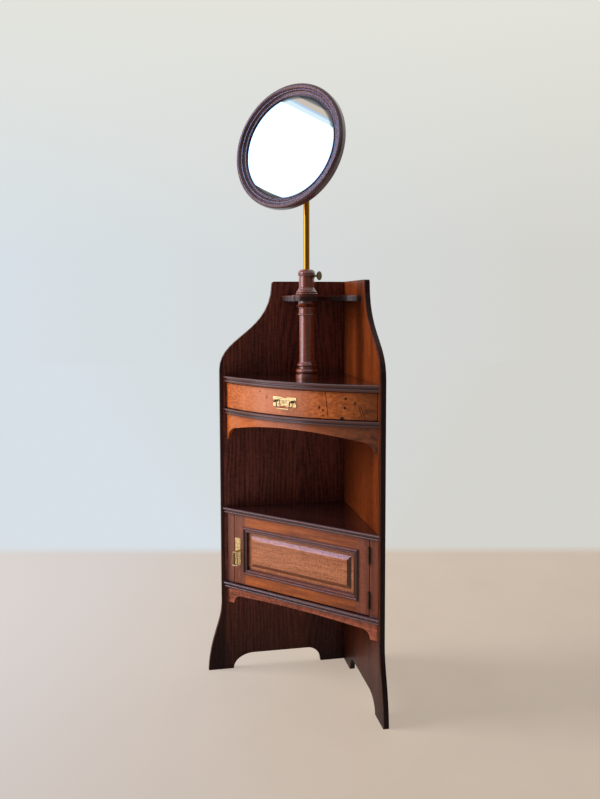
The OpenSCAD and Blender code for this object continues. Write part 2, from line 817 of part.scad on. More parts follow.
module handle_posts() color(old_brass) placed() at_handle() difference() {
    post_places() {
        translate([0, -post_seat_y, 0]) bar_y(post_r, post_l - post_r);
        translate([0, -bail_y, 0]) sphere(r = post_r);
        translate([0, -bow_y(front_back_r, post_gap / 2) + nut_s, 0])
            bar_y(shank_r, drawer_front_t + nut_s + 3 * plate_t);
    }
    bail_pins(run_gap);
}

module handle_nuts() color(old_brass) placed() at_handle() difference() {
    post_places()
        translate([0, -bow_y(front_back_r, post_gap / 2 + nut_s / 2), 0]) translate([0, nut_s / 2, 0])
            rotate([90, 0, 0]) translate([-nut_s / 2, -nut_s / 2, 0]) cube([nut_s, nut_s, nut_s / 2]);
    post_places() translate([0, plan_l / 2, 0]) bar_y(shank_r + seat_gap, plan_l);
}

// The bail's two pins, which turn in the posts
module bail_pins(gap = 0)
    for (side = [-1, 1])
        translate([side * post_gap / 2 - post_r - 2 * gap, -bail_y, post_z])
            bar_x(bail_r / 2 + gap, 2 * (post_r + 2 * gap));

// Turn of a wire at one of its corners, and how far its straight runs stop short of it
function turn_at(p, i) =
    let (n = len(p), way_in = p[i % n] - p[(i + n - 1) % n], way_out = p[(i + 1) % n] - p[i % n])
    let (turn = atan2(way_out[1], way_out[0]) - atan2(way_in[1], way_in[0]))
    turn < -180 ? turn + 360 : turn;
function short_by(p, i, bend) = bend * tan(turn_at(p, i) / 2);

// A round wire that runs anticlockwise from corner to corner, drawn in X and Z
module wire(p, r, bend, closed = false) rotate([90, 0, 0]) {
    n = len(p);
    lap = r / 8;
    for (i = [0:closed ? n - 1 : n - 2]) {
        way = p[(i + 1) % n] - p[i];
        bent_in = closed || i > 0;
        bent_out = closed || i < n - 2;
        first = bent_in ? short_by(p, i, bend) - lap : 0;
        last = norm(way) - (bent_out ? short_by(p, i + 1, bend) - lap : 0);
        translate([p[i][0], p[i][1], 0]) rotate([0, 0, atan2(way[1], way[0])]) {
            translate([first, 0, 0]) bar_x(r, last - first);
            if (bent_out)
                translate([last - lap, bend, 0]) rotate([0, 0, -90])
                    rotate_extrude(angle = turn_at(p, i + 1)) translate([bend, 0])
                        circle(r = bend_swell * r);
        }
    }
}

// The bail hangs inside the posts, and its sides draw in towards the lower bar
module drawer_bail() color(old_brass) placed() at_handle() {
    top = post_gap / 2 - post_r - bail_r - free_gap;
    waist = bail_drop / 3;
    translate([0, -bail_y, post_z])
        wire([[-top, 0], [-top, -waist], [-bail_l / 2, -bail_drop], [bail_l / 2, -bail_drop],
              [top, -waist], [top, 0]], bail_r, bail_r * 2);
    for (side = [0, 1]) mirror([side, 0, 0])
        translate([top - bail_r, -bail_y, post_z])
            bar_x(bail_r / 2, (post_gap + post_r) / 2 - top + bail_r);
}

// ---- Door ----

module door_stile_blank() difference() {
    block([door_w / 2 - frame_w, -face_y, door_low_z], [door_w / 2, -face_y + door_t, door_high_z]);
    panel_slab(seat_gap);
    for (z = [door_low_z, door_high_z - frame_w]) tenon_slab(z, seat_gap);
}

// A tenon of the rail that starts at a height
module tenon_slab(z, gap = 0)
    block([-opening_w / 2 - tenon_l - gap, -face_y + (door_t - tenon_t) / 2 - gap, z + tenon_in - gap],
          [opening_w / 2 + tenon_l + gap, -face_y + (door_t + tenon_t) / 2 + gap,
           z + frame_w - tenon_in + gap]);

// The part of the panel that lies flat in the grooves
module panel_slab(gap = 0)
    block([-opening_w / 2 - panel_tongue - gap, -face_y + panel_sink - gap,
           door_mid_z - opening_h / 2 - panel_tongue - gap],
          [opening_w / 2 + panel_tongue + gap, -face_y + panel_sink + panel_t + gap,
           door_mid_z + opening_h / 2 + panel_tongue + gap]);

module rail_blank(z) difference() {
    union() {
        block([-opening_w / 2, -face_y, z], [opening_w / 2, -face_y + door_t, z + frame_w]);
        tenon_slab(z);
    }
    panel_slab(seat_gap);
}

module door_latch_stile() color(warm_mahogany) placed() difference() {
    mirror([1, 0, 0]) door_stile_blank();
    catch_place() translate([0, 0, -catch_l - seat_gap])
        cylinder(r = catch_r + seat_gap, h = catch_l + cut);
    latch_screw_places() screw_hole(small_screw_d, small_screw_l);
    translate([latch_x, -face_y - cut, stud_z]) mirror([0, 1, 0])
        bar_y(shank_r + seat_gap, door_t / 2 + cut);
}

module door_hinge_stile() color(warm_mahogany) placed() difference() {
    door_stile_blank();
    hinge_door_screw_places() screw_hole(small_screw_d, small_screw_l);
}

module door_top_rail() color(light_mahogany) placed() rail_blank(door_high_z - frame_w);

module door_bottom_rail() color(light_mahogany) placed() rail_blank(door_low_z);

// The field is where two bevelled bars cross
module door_panel() color(light_mahogany) placed() {
    edge_x = opening_w / 2 + moulding_lap - moulding_w - panel_flat;
    edge_z = opening_h / 2 + moulding_lap - moulding_w - panel_flat;
    base_y = face_y - panel_sink;
    panel_slab();
    intersection() {
        translate([0, 0, door_mid_z]) linear_extrude(2 * edge_z, center = true)
            polygon([[-edge_x, -base_y], [-edge_x + bevel_w, -base_y - field_h],
                     [edge_x - bevel_w, -base_y - field_h], [edge_x, -base_y]]);
        translate([0, 0, door_mid_z]) rotate([90, 0, 90]) linear_extrude(2 * edge_x, center = true)
            polygon([[-base_y, -edge_z], [-base_y - field_h, -edge_z + bevel_w],
                     [-base_y - field_h, edge_z - bevel_w], [-base_y, edge_z]]);
    }
}

// Section of the moulding: distance in from its outer edge, height over the frame's face
module moulding_section() {
    fillet = moulding_out / 3;
    bead = moulding_out / 2;
    square([moulding_lap, fillet]);
    translate([fillet, 0]) square([moulding_lap - fillet, moulding_out - bead]);
    translate([moulding_lap - bead, bead]) circle(r = bead);
    translate([moulding_lap, -panel_sink])
        square([moulding_w - moulding_lap - fillet, panel_sink + fillet]);
    translate([moulding_lap, -panel_sink]) square([moulding_w - moulding_lap, panel_sink / 2]);
    translate([moulding_w - moulding_lap / 2 - fillet, fillet]) circle(r = fillet);
}

// One side of the moulding along X, mitred at both ends, with its outer edge at a half height
module moulding_side(half_l, half_h) intersection() {
    translate([0, -face_y, half_h]) rotate([0, 90, 180])
        linear_extrude(2 * half_l, center = true) moulding_section();
    translate([0, -face_y + door_t, 0]) rotate([90, 0, 0]) linear_extrude(2 * door_t)
        polygon([[-half_l, half_h], [half_l, half_h],
                 [half_l - moulding_w, half_h - moulding_w],
                 [-half_l + moulding_w, half_h - moulding_w]]);
}

moulding_half_w = opening_w / 2 + moulding_lap;
moulding_half_h = opening_h / 2 + moulding_lap;

module at_door_mid() translate([0, 0, door_mid_z]) children();

module door_moulding_top() color(edge_mahogany) placed() at_door_mid()
    moulding_side(moulding_half_w, moulding_half_h);

module door_moulding_bottom() color(edge_mahogany) placed() at_door_mid()
    mirror([0, 0, 1]) moulding_side(moulding_half_w, moulding_half_h);

module door_moulding_right() color(edge_mahogany) placed() at_door_mid()
    rotate([0, 90, 0]) moulding_side(moulding_half_h, moulding_half_w);

module door_moulding_left() color(edge_mahogany) placed() at_door_mid()
    rotate([0, -90, 0]) moulding_side(moulding_half_h, moulding_half_w);

// ---- Hinges ----

module hinge_places()
    for (z = [door_low_z + hinge_in, door_high_z - hinge_in])
        translate([hinge_x, -hinge_y, z - hinge_l / 2]) children();

// Leaf of one side: its plate lies in the gap, and its tabs join it to its knuckles
module leaf(spans, low_x) difference() {
    union() {
        block([low_x, hinge_y - face_y + rest_gap / 2, 0],
              [low_x + leaf_t, hinge_y - face_y + leaf_w, hinge_l]);
        for (span = spans) {
            translate([0, 0, span[0]]) cylinder(r = knuckle_r, h = span[1] - span[0]);
            block([low_x, 0, span[0]], [low_x + leaf_t, hinge_y - face_y + leaf_w, span[1]]);
        }
    }
    translate([0, 0, -cut]) cylinder(r = pin_r + run_gap, h = hinge_l + 2 * cut);
}

outer_spans = [[0, knuckle_l - rest_gap / 2], [2 * knuckle_l + rest_gap / 2, hinge_l]];
inner_span = [[knuckle_l + rest_gap / 2, 2 * knuckle_l - rest_gap / 2]];

module hinge_frame_leaves() color(old_brass) placed() difference() {
    hinge_places() leaf(outer_spans, door_side_gap / 2 - leaf_t);
    hinge_frame_screw_places() screw_hole(small_screw_d, small_screw_l);
}

module hinge_door_leaves() color(old_brass) placed() difference() {
    hinge_places() leaf(inner_span, -door_side_gap / 2);
    hinge_door_screw_places() screw_hole(small_screw_d, small_screw_l);
}

module hinge_pins() color(old_brass) placed() hinge_places() cylinder(r = pin_r, h = hinge_l);

// Two screws in each leaf, with their heads flush with the leaf
module leaf_screw_places(x, turn)
    hinge_places()
        for (z = [knuckle_l / 2, hinge_l - knuckle_l / 2])
            translate([x, hinge_y - face_y + leaf_w / 2, z]) rotate([0, turn, 0]) children();

module hinge_frame_screw_places() leaf_screw_places(door_side_gap / 2 - leaf_t, -90) children();

module hinge_door_screw_places() leaf_screw_places(leaf_t - door_side_gap / 2, 90) children();

module hinge_frame_screws() color(steel_grey) placed()
    hinge_frame_screw_places() screw(small_screw_d, small_screw_l);

module hinge_door_screws() color(steel_grey) placed()
    hinge_door_screw_places() screw(small_screw_d, small_screw_l);

// ---- Door fittings ----

module latch_screw_places()
    for (up = [-1, 1])
        translate([latch_x, -face_y - plate_t, latch_z + up * (latch_h / 2 - latch_w / 3)])
            rotate([90, 0, 0]) children();

// The back plate with its two screws and the foot of the stud
module latch_plate() color(old_brass) placed() {
    difference() {
        front_slab(face_y + plate_t, plate_t) translate([latch_x, latch_z]) union() {
            square([latch_w, latch_h - latch_w], center = true);
            for (up = [-1, 1]) translate([0, up * (latch_h / 2 - latch_w / 2)])
                intersection() {
                    circle(r = latch_w / 2 * 1.2);
                    square([latch_w, latch_w], center = true);
                }
        }
        latch_screw_places() screw_hole(small_screw_d, small_screw_l);
        translate([latch_x, -face_y + cut, stud_z]) bar_y(shank_r + seat_gap, plate_t + 2 * cut);
    }
    latch_screw_places() screw(small_screw_d, small_screw_l);
}

module latch_stud() color(old_brass) placed() difference() {
    translate([latch_x, -face_y - plate_t, stud_z]) {
        bar_y(stud_r, stud_l - stud_r);
        translate([0, -stud_l + stud_r, 0]) sphere(r = stud_r);
        mirror([0, 1, 0]) bar_y(shank_r, door_t / 2);
    }
    translate([latch_x - stud_r - cut, -ring_y, stud_z]) bar_x(ring_r + run_gap, 2 * (stud_r + cut));
}

module latch_ring() color(old_brass) placed() translate([latch_x, -ring_y, stud_z])
    wire([[-ring_top / 2, 0], [-ring_foot / 2, -ring_drop], [ring_foot / 2, -ring_drop],
          [ring_top / 2, 0]], ring_r, ring_r * 1.3, closed = true);

// The ball catch sits in the door's edge and points at the fixed stile
module catch_place() translate([-door_w / 2, -face_y + door_t / 2, door_mid_z + catch_up])
    rotate([0, -90, 0]) children();

module ball_catch() color(old_brass) placed() catch_place() {
    translate([0, 0, -catch_l]) cylinder(r = catch_r, h = catch_l);
    translate([0, 0, door_side_gap / 2 - ball_r]) sphere(r = ball_r);
}

module catch_plate_slab(gap = 0) {
    half = catch_r + ball_r;
    translate([-face_y + fixed_stile_w, -face_y + door_t / 2, door_mid_z + catch_up])
        block([-leaf_t - gap, -half - gap, -2 * half - gap], [cut * gap, half + gap, 2 * half + gap]);
}

module catch_plate() color(old_brass) placed() difference() {
    catch_plate_slab();
    catch_place() cylinder(r = ball_r, h = door_side_gap + 2 * leaf_t);
}

// ---- Column ----

// A turned disc and a turned bead: radius, lower and upper height
module disc_section(r, z0, z1) translate([0, z0]) square([r, z1 - z0]);

module bead_section(r, z0, z1) {
    h = z1 - z0;
    disc_section(r - h / 2, z0, z1);
    translate([r - h / 2, z0 + h / 2]) circle(r = h / 2);
}

// A turned hollow that runs from one radius to another
module sweep_section(r0, z0, r1, z1, steps = 8) polygon(concat(
    [[0, z0]],
    curve([r0, z0], [r1, z0 + (z1 - z0) / 3], [r1, z0 + (z1 - z0) / 2], [r1, z1], steps),
    [[0, z1]]));

module column_bore(z0, z1) translate([0, 0, z0]) cylinder(r = tube_out_r + seat_gap, h = z1 - z0);

module at_column() translate([0, -column_y, 0]) children();

module column_shaft() color(warm_mahogany) placed() at_column() difference() {
    rotate_extrude() {
        z = table_z;
        disc_section(foot_tenon_r, drawer_top_z, z);
        disc_section(column_foot_r, z, z + 14);
        disc_section(column_foot_r - 5, z + 14, z + 17);
        bead_section(column_foot_r, z + 17, z + 32);
        disc_section(shaft_r + 2, z + 32, z + 38);
        bead_section(column_foot_r - 3, z + 38, z + 47);
        sweep_section(shaft_r + 4, z + 47, shaft_r, z + 60);
        polygon([[0, z + 60], [shaft_r, z + 60],
                 [shaft_r - shaft_taper, upper_low_z - 43], [0, upper_low_z - 43]]);
        bead_section(ring_out_r, upper_low_z - 43, upper_low_z - 37);
        disc_section(shaft_r, upper_low_z - 37, upper_low_z - 22);
        bead_section(ring_out_r, upper_low_z - 22, upper_low_z - 16);
        translate([0, 2 * upper_low_z - 16]) mirror([0, 1])
            sweep_section(column_foot_r - 0.5, upper_low_z, ring_out_r - 2, upper_low_z - 16);
        disc_section(tenon_r, upper_low_z, upper_z + tenon_up);
    }
    column_bore(bore_low_z, column_top_z);
}

module column_neck() color(warm_mahogany) placed() at_column() difference() {
    rotate_extrude() {
        z = upper_z;
        bead_section(column_foot_r, z, z + 6);
        bead_section(column_foot_r - 2.5, z + 6, z + 12);
        sweep_section(column_foot_r - 5, z + 12, neck_r, z + 32);
        disc_section(neck_r, z + 32, dome_z - 10);
        disc_section(neck_r - 1.5, dome_z - 10, dome_z - 6);
        bead_section(cap_r - 0.5, dome_z - 6, dome_z);
        polygon(concat(
            [[0, dome_z]],
            oval([tenon_r - 2, dome_z], cap_r - tenon_r + 2, dome_h, 0, 90, arch_steps),
            [[0, column_top_z]]));
    }
    column_bore(upper_z, column_top_z + cut);
    translate([0, 0, upper_z - cut])
        cylinder(r = tenon_r + seat_gap, h = tenon_up + seat_gap + cut);
    translate([0, 0, clamp_z]) bar_x(clamp_bush_r + seat_gap, 2 * neck_r);
    translate([neck_r, 0, clamp_z]) bar_x(clamp_bush_r + 2 * plate_t + seat_gap, neck_r);
}

module rod_tube() color(bright_brass) placed() at_column() difference() {
    translate([0, 0, bore_low_z]) cylinder(r = tube_out_r, h = column_top_z - bore_low_z);
    translate([0, 0, bore_low_z - cut])
        cylinder(r = tube_in_r, h = column_top_z - bore_low_z + 2 * cut);
    translate([0, 0, clamp_z]) bar_x(clamp_r + free_gap, 2 * tube_out_r);
}

module clamp_bush() color(dark_brass) placed() at_column() translate([0, 0, clamp_z]) difference() {
    union() {
        translate([tube_out_r + free_gap, 0, 0])
            bar_x(clamp_bush_r, neck_r + plate_t - tube_out_r - free_gap);
        translate([neck_r, 0, 0]) bar_x(clamp_bush_r + 2 * plate_t, plate_t);
    }
    bar_x(clamp_r + run_gap, 2 * neck_r);
}

// Screw with a round knob: its tip stops just short of the rod
module thumb_screw() color(dark_brass) placed() at_column() translate([0, 0, clamp_z]) {
    boss_x = neck_r + 3 * plate_t;
    translate([rod_r + rest_gap, 0, 0]) bar_x(clamp_r, knob_x - rod_r - rest_gap - knob_t);
    rotate([0, 90, 0]) rotate_extrude() {
        sweep_section(clamp_r, boss_x + knob_t, clamp_bush_r, knob_x - knob_t);
        translate([0, knob_x - knob_t]) square([knob_r - knob_t / 2, knob_t]);
        translate([knob_r - knob_t / 2, knob_x - knob_t / 2]) circle(r = knob_t / 2);
    }
}

module rod() color(bright_brass) placed() at_column()
    translate([0, 0, rod_low_z]) cylinder(r = rod_r, h = rod_l);

// ---- Mirror carrier ----

module at_pivot() translate([0, -pivot_y, pivot_z]) children();

// The arm turns on the rod: a socket, a short bar and a fork
module mirror_arm() color(bright_brass) placed() difference() {
    top_z = rod_high_z + rest_gap;
    union() {
        at_column() rotate_extrude() {
            disc_section(socket_r, socket_low_z, top_z + 2 * cut);
            bead_section(socket_r + 2, socket_low_z, socket_low_z + 5);
            bead_section(socket_r + 1, top_z - 3, top_z + 2);
            intersection() {
                translate([0, top_z + 2 * cut]) circle(r = socket_r);
                disc_section(socket_r, top_z + 2 * cut, top_z + socket_r + 2 * cut);
            }
        }
        translate([0, -column_y, pivot_z]) bar_y(tongue_r - 2, web_y - column_y);
        block([-cheek_x - cheek_t, -web_y - cheek_t / 4, pivot_z - tongue_r],
              [cheek_x + cheek_t, -web_y + cheek_t, pivot_z + tongue_r]);
        for (side = [0, 1]) mirror([side, 0, 0]) {
            block([cheek_x, -pivot_y, pivot_z - tongue_r],
                  [cheek_x + cheek_t, -web_y + cheek_t, pivot_z + tongue_r]);
            translate([cheek_x, -pivot_y, pivot_z]) bar_x(tongue_r, cheek_t);
        }
    }
    at_column() translate([0, 0, socket_low_z - cut])
        cylinder(r = rod_r + run_gap, h = socket_l + rest_gap + cut);
    at_pivot() translate([-plan_l / 2, 0, 0]) bar_x(bolt_r + seat_gap, plan_l);
}

module pivot_bolt() color(bright_brass) placed() at_pivot() {
    half = cheek_x + cheek_t;
    translate([-half, 0, 0]) bar_x(bolt_r, 2 * half + 3 * bolt_r);
    translate([-half, 0, 0]) rotate([0, -90, 0]) rotate_extrude()
        sweep_section(2 * bolt_r, 0, bolt_r, 1.5 * bolt_r);
}

// Nut with six round lobes for the fingers
module pivot_nut() color(bright_brass) placed() at_pivot() difference() {
    translate([cheek_x + cheek_t, 0, 0]) rotate([0, 90, 0]) union() {
        cylinder(r = 2.6 * bolt_r, h = 2 * bolt_r);
        for (i = [0:5]) rotate([0, 0, 60 * i]) translate([2.4 * bolt_r, 0, 0])
            cylinder(r = bolt_r / 1.5, h = 2 * bolt_r);
    }
    bar_x(bolt_r + seat_gap, 4 * tongue_r);
}

// ---- Mirror ----

// The mirror's own axis runs forward from the pivot
module on_mirror() placed() at_pivot() rotate([90 - rest_tilt, 0, 0]) children();

glass_back = frame_back + back_t + free_gap;
ledge_r = sight_r + 2 * inner_bead_r - cut;
back_r = mirror_r - rim_r - cut;

// Section of the frame: an outer round, a step, a hollow and an inner bead
module mirror_frame_section() {
    front = mirror_reach;
    bead_z = front - inner_bead_sink;
    step_end = mirror_r - 2 * rim_r - rim_step_w;
    hollow_end = sight_r + 2 * inner_bead_r;
    polygon(concat(
        [[sight_r, frame_back], [mirror_r - rim_r / 3, frame_back],
         [mirror_r, frame_back + rim_r / 3], [mirror_r, front - rim_r],
         [mirror_r - rim_r, front - rim_r], [mirror_r - rim_r, front - rim_step]],
        curve([step_end, front - rim_step], [step_end, bead_z + rim_step_w],
              [step_end - rim_step_w, bead_z], [hollow_end, bead_z], arch_steps),
        [[sight_r, bead_z]]));
    translate([mirror_r - rim_r, front - rim_r]) circle(r = rim_r);
    translate([sight_r + inner_bead_r, bead_z]) circle(r = inner_bead_r);
}

module mirror_frame() color(edge_mahogany) on_mirror() difference() {
    rotate_extrude($fn = 120) mirror_frame_section();
    translate([0, 0, frame_back - cut])
        cylinder(r = back_r + seat_gap, h = glass_back - frame_back + cut, $fn = 120);
    translate([0, 0, glass_back - cut])
        cylinder(r = ledge_r + seat_gap, h = glass_t + cut, $fn = 120);
    back_screw_places() screw_hole(small_screw_d, small_screw_l);
}

module mirror_glass() color(glass_colour) on_mirror()
    translate([0, 0, glass_back]) cylinder(r = ledge_r, h = glass_t, $fn = 120);

module back_screw_places()
    for (i = [0:back_screws - 1]) rotate([0, 0, 360 * i / back_screws])
        translate([(ledge_r + back_r) / 2, 0, glass_back - back_t]) rotate([180, 0, 0]) children();

module plate_screw_places()
    for (i = [0:3]) rotate([0, 0, 45 + 90 * i])
        translate([boss_plate_r - 2.5 * small_screw_d, 0, glass_back - back_t - boss_plate_t])
            rotate([180, 0, 0]) children();

plate_screw_l = boss_plate_t + back_t - cut;

module mirror_back() color(drawer_pine) on_mirror() difference() {
    translate([0, 0, glass_back - back_t]) cylinder(r = back_r, h = back_t, $fn = 120);
    back_screw_places() screw_hole(small_screw_d, small_screw_l);
    plate_screw_places() screw_hole(small_screw_d, plate_screw_l - cut / 2);
}

module mirror_back_screws() color(steel_grey) on_mirror()
    back_screw_places() screw(small_screw_d, small_screw_l);

// Round plate with the tongue that tilts in the fork
module mirror_plate() color(bright_brass) on_mirror() difference() {
    union() {
        translate([0, 0, glass_back - back_t - boss_plate_t])
            cylinder(r = boss_plate_r, h = boss_plate_t);
        block([-tongue_t / 2, -tongue_r, 0], [tongue_t / 2, tongue_r, glass_back - back_t - cut]);
        translate([-tongue_t / 2, 0, 0]) bar_x(tongue_r, tongue_t);
    }
    translate([-tongue_t, 0, 0]) bar_x(bolt_r + run_gap, 2 * tongue_t);
    plate_screw_places() screw_hole(small_screw_d, plate_screw_l);
}

module mirror_plate_screws() color(steel_grey) on_mirror()
    plate_screw_places() screw(small_screw_d, plate_screw_l);

// ---- What is drawn ----

left_board();
right_board();
left_board_screws();
right_board_screws();
upper_shelf();
table_top();
drawer_shelf();
middle_shelf();
cupboard_floor();
upper_apron();
upper_apron_blocks();
lower_apron();
lower_apron_blocks();
left_fixed_stile();
right_fixed_stile();
drawer_guides();
drawer_kickers();
column_shaft();
column_neck();
rod_tube();
clamp_bush();
thumb_screw();
rod();
mirror_arm();
pivot_bolt();
pivot_nut();
mirror_frame();
mirror_glass();
mirror_back();
mirror_back_screws();
mirror_plate();
mirror_plate_screws();
drawer_front();
drawer_left_side();
drawer_right_side();
drawer_back();
drawer_bottom();
handle_plate();
handle_posts();
handle_nuts();
drawer_bail();
door_latch_stile();
door_hinge_stile();
door_top_rail();
door_bottom_rail();
door_panel();
door_moulding_top();
door_moulding_bottom();
door_moulding_left();
door_moulding_right();
latch_plate();
latch_stud();
latch_ring();
ball_catch();
catch_plate();
hinge_frame_leaves();
hinge_door_leaves();
hinge_pins();
hinge_frame_screws();
hinge_door_screws();
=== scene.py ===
"""Corner shaving stand in polished mahogany and brass.

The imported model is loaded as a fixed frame. Each operator finishes one piece or a group of like
pieces: it softens the arrises, adds what the solids leave out, and gives every part its material.
All lengths are metres in the frame's own space: the front faces -Y and +Z is up.
"""

import functools
import math

import bmesh
import bpy
from bpy.props import FloatProperty, FloatVectorProperty, PointerProperty
from mathutils import Matrix, Vector


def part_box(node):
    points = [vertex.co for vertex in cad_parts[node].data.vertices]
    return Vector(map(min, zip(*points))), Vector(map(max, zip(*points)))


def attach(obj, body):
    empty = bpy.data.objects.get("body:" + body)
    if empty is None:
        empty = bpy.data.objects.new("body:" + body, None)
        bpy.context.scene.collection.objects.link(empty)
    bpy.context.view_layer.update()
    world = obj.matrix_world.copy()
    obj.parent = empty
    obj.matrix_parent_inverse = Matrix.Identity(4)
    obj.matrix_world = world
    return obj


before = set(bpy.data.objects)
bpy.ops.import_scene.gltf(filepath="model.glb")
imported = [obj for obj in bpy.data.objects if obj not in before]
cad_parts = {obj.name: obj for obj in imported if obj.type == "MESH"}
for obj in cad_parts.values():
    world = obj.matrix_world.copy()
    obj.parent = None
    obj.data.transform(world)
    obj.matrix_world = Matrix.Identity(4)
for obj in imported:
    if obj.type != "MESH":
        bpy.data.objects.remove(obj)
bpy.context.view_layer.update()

bl_info = {
    "name": "Corner Shaving Stand",
    "version": (1, 0, 0),
    "blender": (4, 5, 0),
    "location": "View3D > Sidebar > Shaving Stand",
    "description": "Finishes a corner shaving stand in polished wood and brass",
    "category": "Object",
}

# The two back boards meet at a right angle, an eighth of a turn to each side of straight back.
DIAGONAL = math.sqrt(0.5)
CORNER_Y = 0.167848
BOARD_WIDTH = 0.408
BOARD_THICK = 0.017

# The bow of the shelves' fronts seen from above, and the drawer front set back behind it.
BOW_END = BOARD_WIDTH * DIAGONAL - 0.0075
BOW_RISE = 0.057
BOW_RADIUS = (BOW_END ** 2 + BOW_RISE ** 2) / (2.0 * BOW_RISE)
BOW_MIDDLE_Y = CORNER_Y + BOW_RADIUS - BOW_END - BOW_RISE
DRAWER_RADIUS = BOW_RADIUS - 0.011

# Middle of the handle's back plate, the face of the plate, and its raised lines.
HANDLE_X = -0.009
HANDLE_Z = 0.9035
PLATE_RADIUS = DRAWER_RADIUS + 0.0015
LINE_RADIUS = 0.00055

# Radius of the part of the mirror glass that is in sight, and a little more.
GLASS_RADIUS = 0.1510

# How the shelves and mouldings are polished.
POLISHED = {"coat": 1.0, "gloss": 0.40, "relief": 0.03, "roughness": (0.16, 0.26), "grime_and_shade": 1.0}

# Edges of what the mirror shows: each fills the side that its direction points to with a colour.
WINDOW_EDGES = (
    ((0.4749, 0.2541, 0.8426), (0.78, 0.93, 1.00)),
    ((0.4885, 0.2475, 0.8368), (0.45, 0.68, 0.95)),
    ((0.4937, 0.2447, 0.8345), (0.64, 0.56, 0.48)),
    ((0.4772, 0.2694, 0.8365), (0.22, 0.22, 0.23)),
    ((-0.4103, -0.1935, -0.8912), (0.34, 0.33, 0.30)),
)

# The window that gloss shows: the bearings of its sides in degrees from the front, less than 0
# at the left, and the rise of the directions between which its top, its sky and its foot start.
WINDOW_SIDES = (-60.0, -20.0)
WINDOW_TOP = (0.80, 0.70)
WINDOW_SKY = (0.30, 0.50)
WINDOW_FOOT = (0.23, 0.19)

# Distances from the stand between which gloss starts to show a sunlit floor and the street, and
# the camera the backdrop.
SUNLIT_FROM = (0.9, 1.8)
STREET_FROM = (3.2, 4.6)
BACKDROP_FROM = (3.2, 5.0)

# Which way the grain runs in a piece, as the turn that brings it upright.
ALONG = {"UP": (0.0, 0.0, 0.0), "ACROSS": (0.0, math.pi / 2, 0.0)}

# The woods in linear light: label, light streaks, dark streaks, and where they are.
WOODS = {
    "board": ("Board", (0.380, 0.104, 0.070), (0.050, 0.011, 0.009), "the left board"),
    "warm": ("Warm board", (0.320, 0.066, 0.014), (0.060, 0.010, 0.003), "the right board"),
    "front": ("Front", (0.780, 0.215, 0.050), (0.440, 0.095, 0.018), "rails and aprons"),
    "lower": ("Lower apron", (0.740, 0.200, 0.100), (0.140, 0.032, 0.018), "the lower apron"),
    "panel": ("Panel", (0.800, 0.310, 0.135), (0.340, 0.085, 0.028), "the door panel"),
    "stile": ("Stile", (0.420, 0.115, 0.055), (0.140, 0.032, 0.018), "the stiles"),
    "mould": ("Moulding", (0.260, 0.068, 0.040), (0.110, 0.024, 0.018), "the mouldings"),
    # The shelf tops are near black, partly as painted shade.
    "shelf": ("Shelf", (0.055, 0.016, 0.014), (0.016, 0.005, 0.005), "the shelf tops"),
    "turned": ("Turned", (0.440, 0.088, 0.040), (0.110, 0.018, 0.010), "the column"),
    "mirror": ("Mirror frame", (0.150, 0.050, 0.055), (0.045, 0.014, 0.020), "the mirror frame"),
    "pine": ("Pine", (0.560, 0.370, 0.190), (0.300, 0.170, 0.075), "the inner pine"),
}

# The metals in the same way: label, clean colour, dull colour, and where they are.
METALS = {
    "rod": ("Rod brass", (0.800, 0.390, 0.060), (0.380, 0.180, 0.030), "the rod and arm"),
    "fitting": ("Fitting brass", (0.780, 0.590, 0.300), (0.120, 0.080, 0.036), "ring and stud"),
    "plate": ("Plate brass", (1.000, 0.740, 0.340), (0.120, 0.080, 0.036), "the two back plates"),
    # The handle's brass is kept dark, on the bail and posts as painted shade.
    "handle": ("Shaded handle brass", (0.300, 0.250, 0.180), (0.020, 0.014, 0.010), "bail and posts"),
    "hinge": ("Hinge brass", (0.130, 0.090, 0.055), (0.022, 0.015, 0.012), "the hinges"),
    "knob": ("Knob brass", (0.170, 0.125, 0.070), (0.035, 0.025, 0.018), "the clamp screw"),
    "steel": ("Steel", (0.420, 0.400, 0.380), (0.110, 0.085, 0.065), "the wood screws"),
}


# ---- Settings ----

def colour(label, value, note):
    """A colour setting, written in linear light."""
    return FloatVectorProperty(
        name=label, description=note, default=value, subtype="COLOR", size=3, min=0.0, max=1.0)


def tones(table, first, second):
    """Two colour settings for each row of a table of materials."""
    return {f"{key}_{tone}": colour(f"{label}, {tone}", value, f"The {tone} colour of {where}")
            for key, (label, one, other, where) in table.items()
            for tone, value in ((first, one), (second, other))}


def share(label, value, note):
    """A setting from 0 to 1."""
    return FloatProperty(
        name=label, description=note, default=value, subtype="FACTOR", min=0.0, max=1.0)


def length(label, value, note, most=1.0):
    """A length in metres."""
    return FloatProperty(
        name=label, description=note, default=value, unit="LENGTH", min=0.0, max=most)


def brightness(label, value, note):
    """How bright a part of the window is."""
    return FloatProperty(name=label, description=note, default=value, min=0.0, max=50.0)


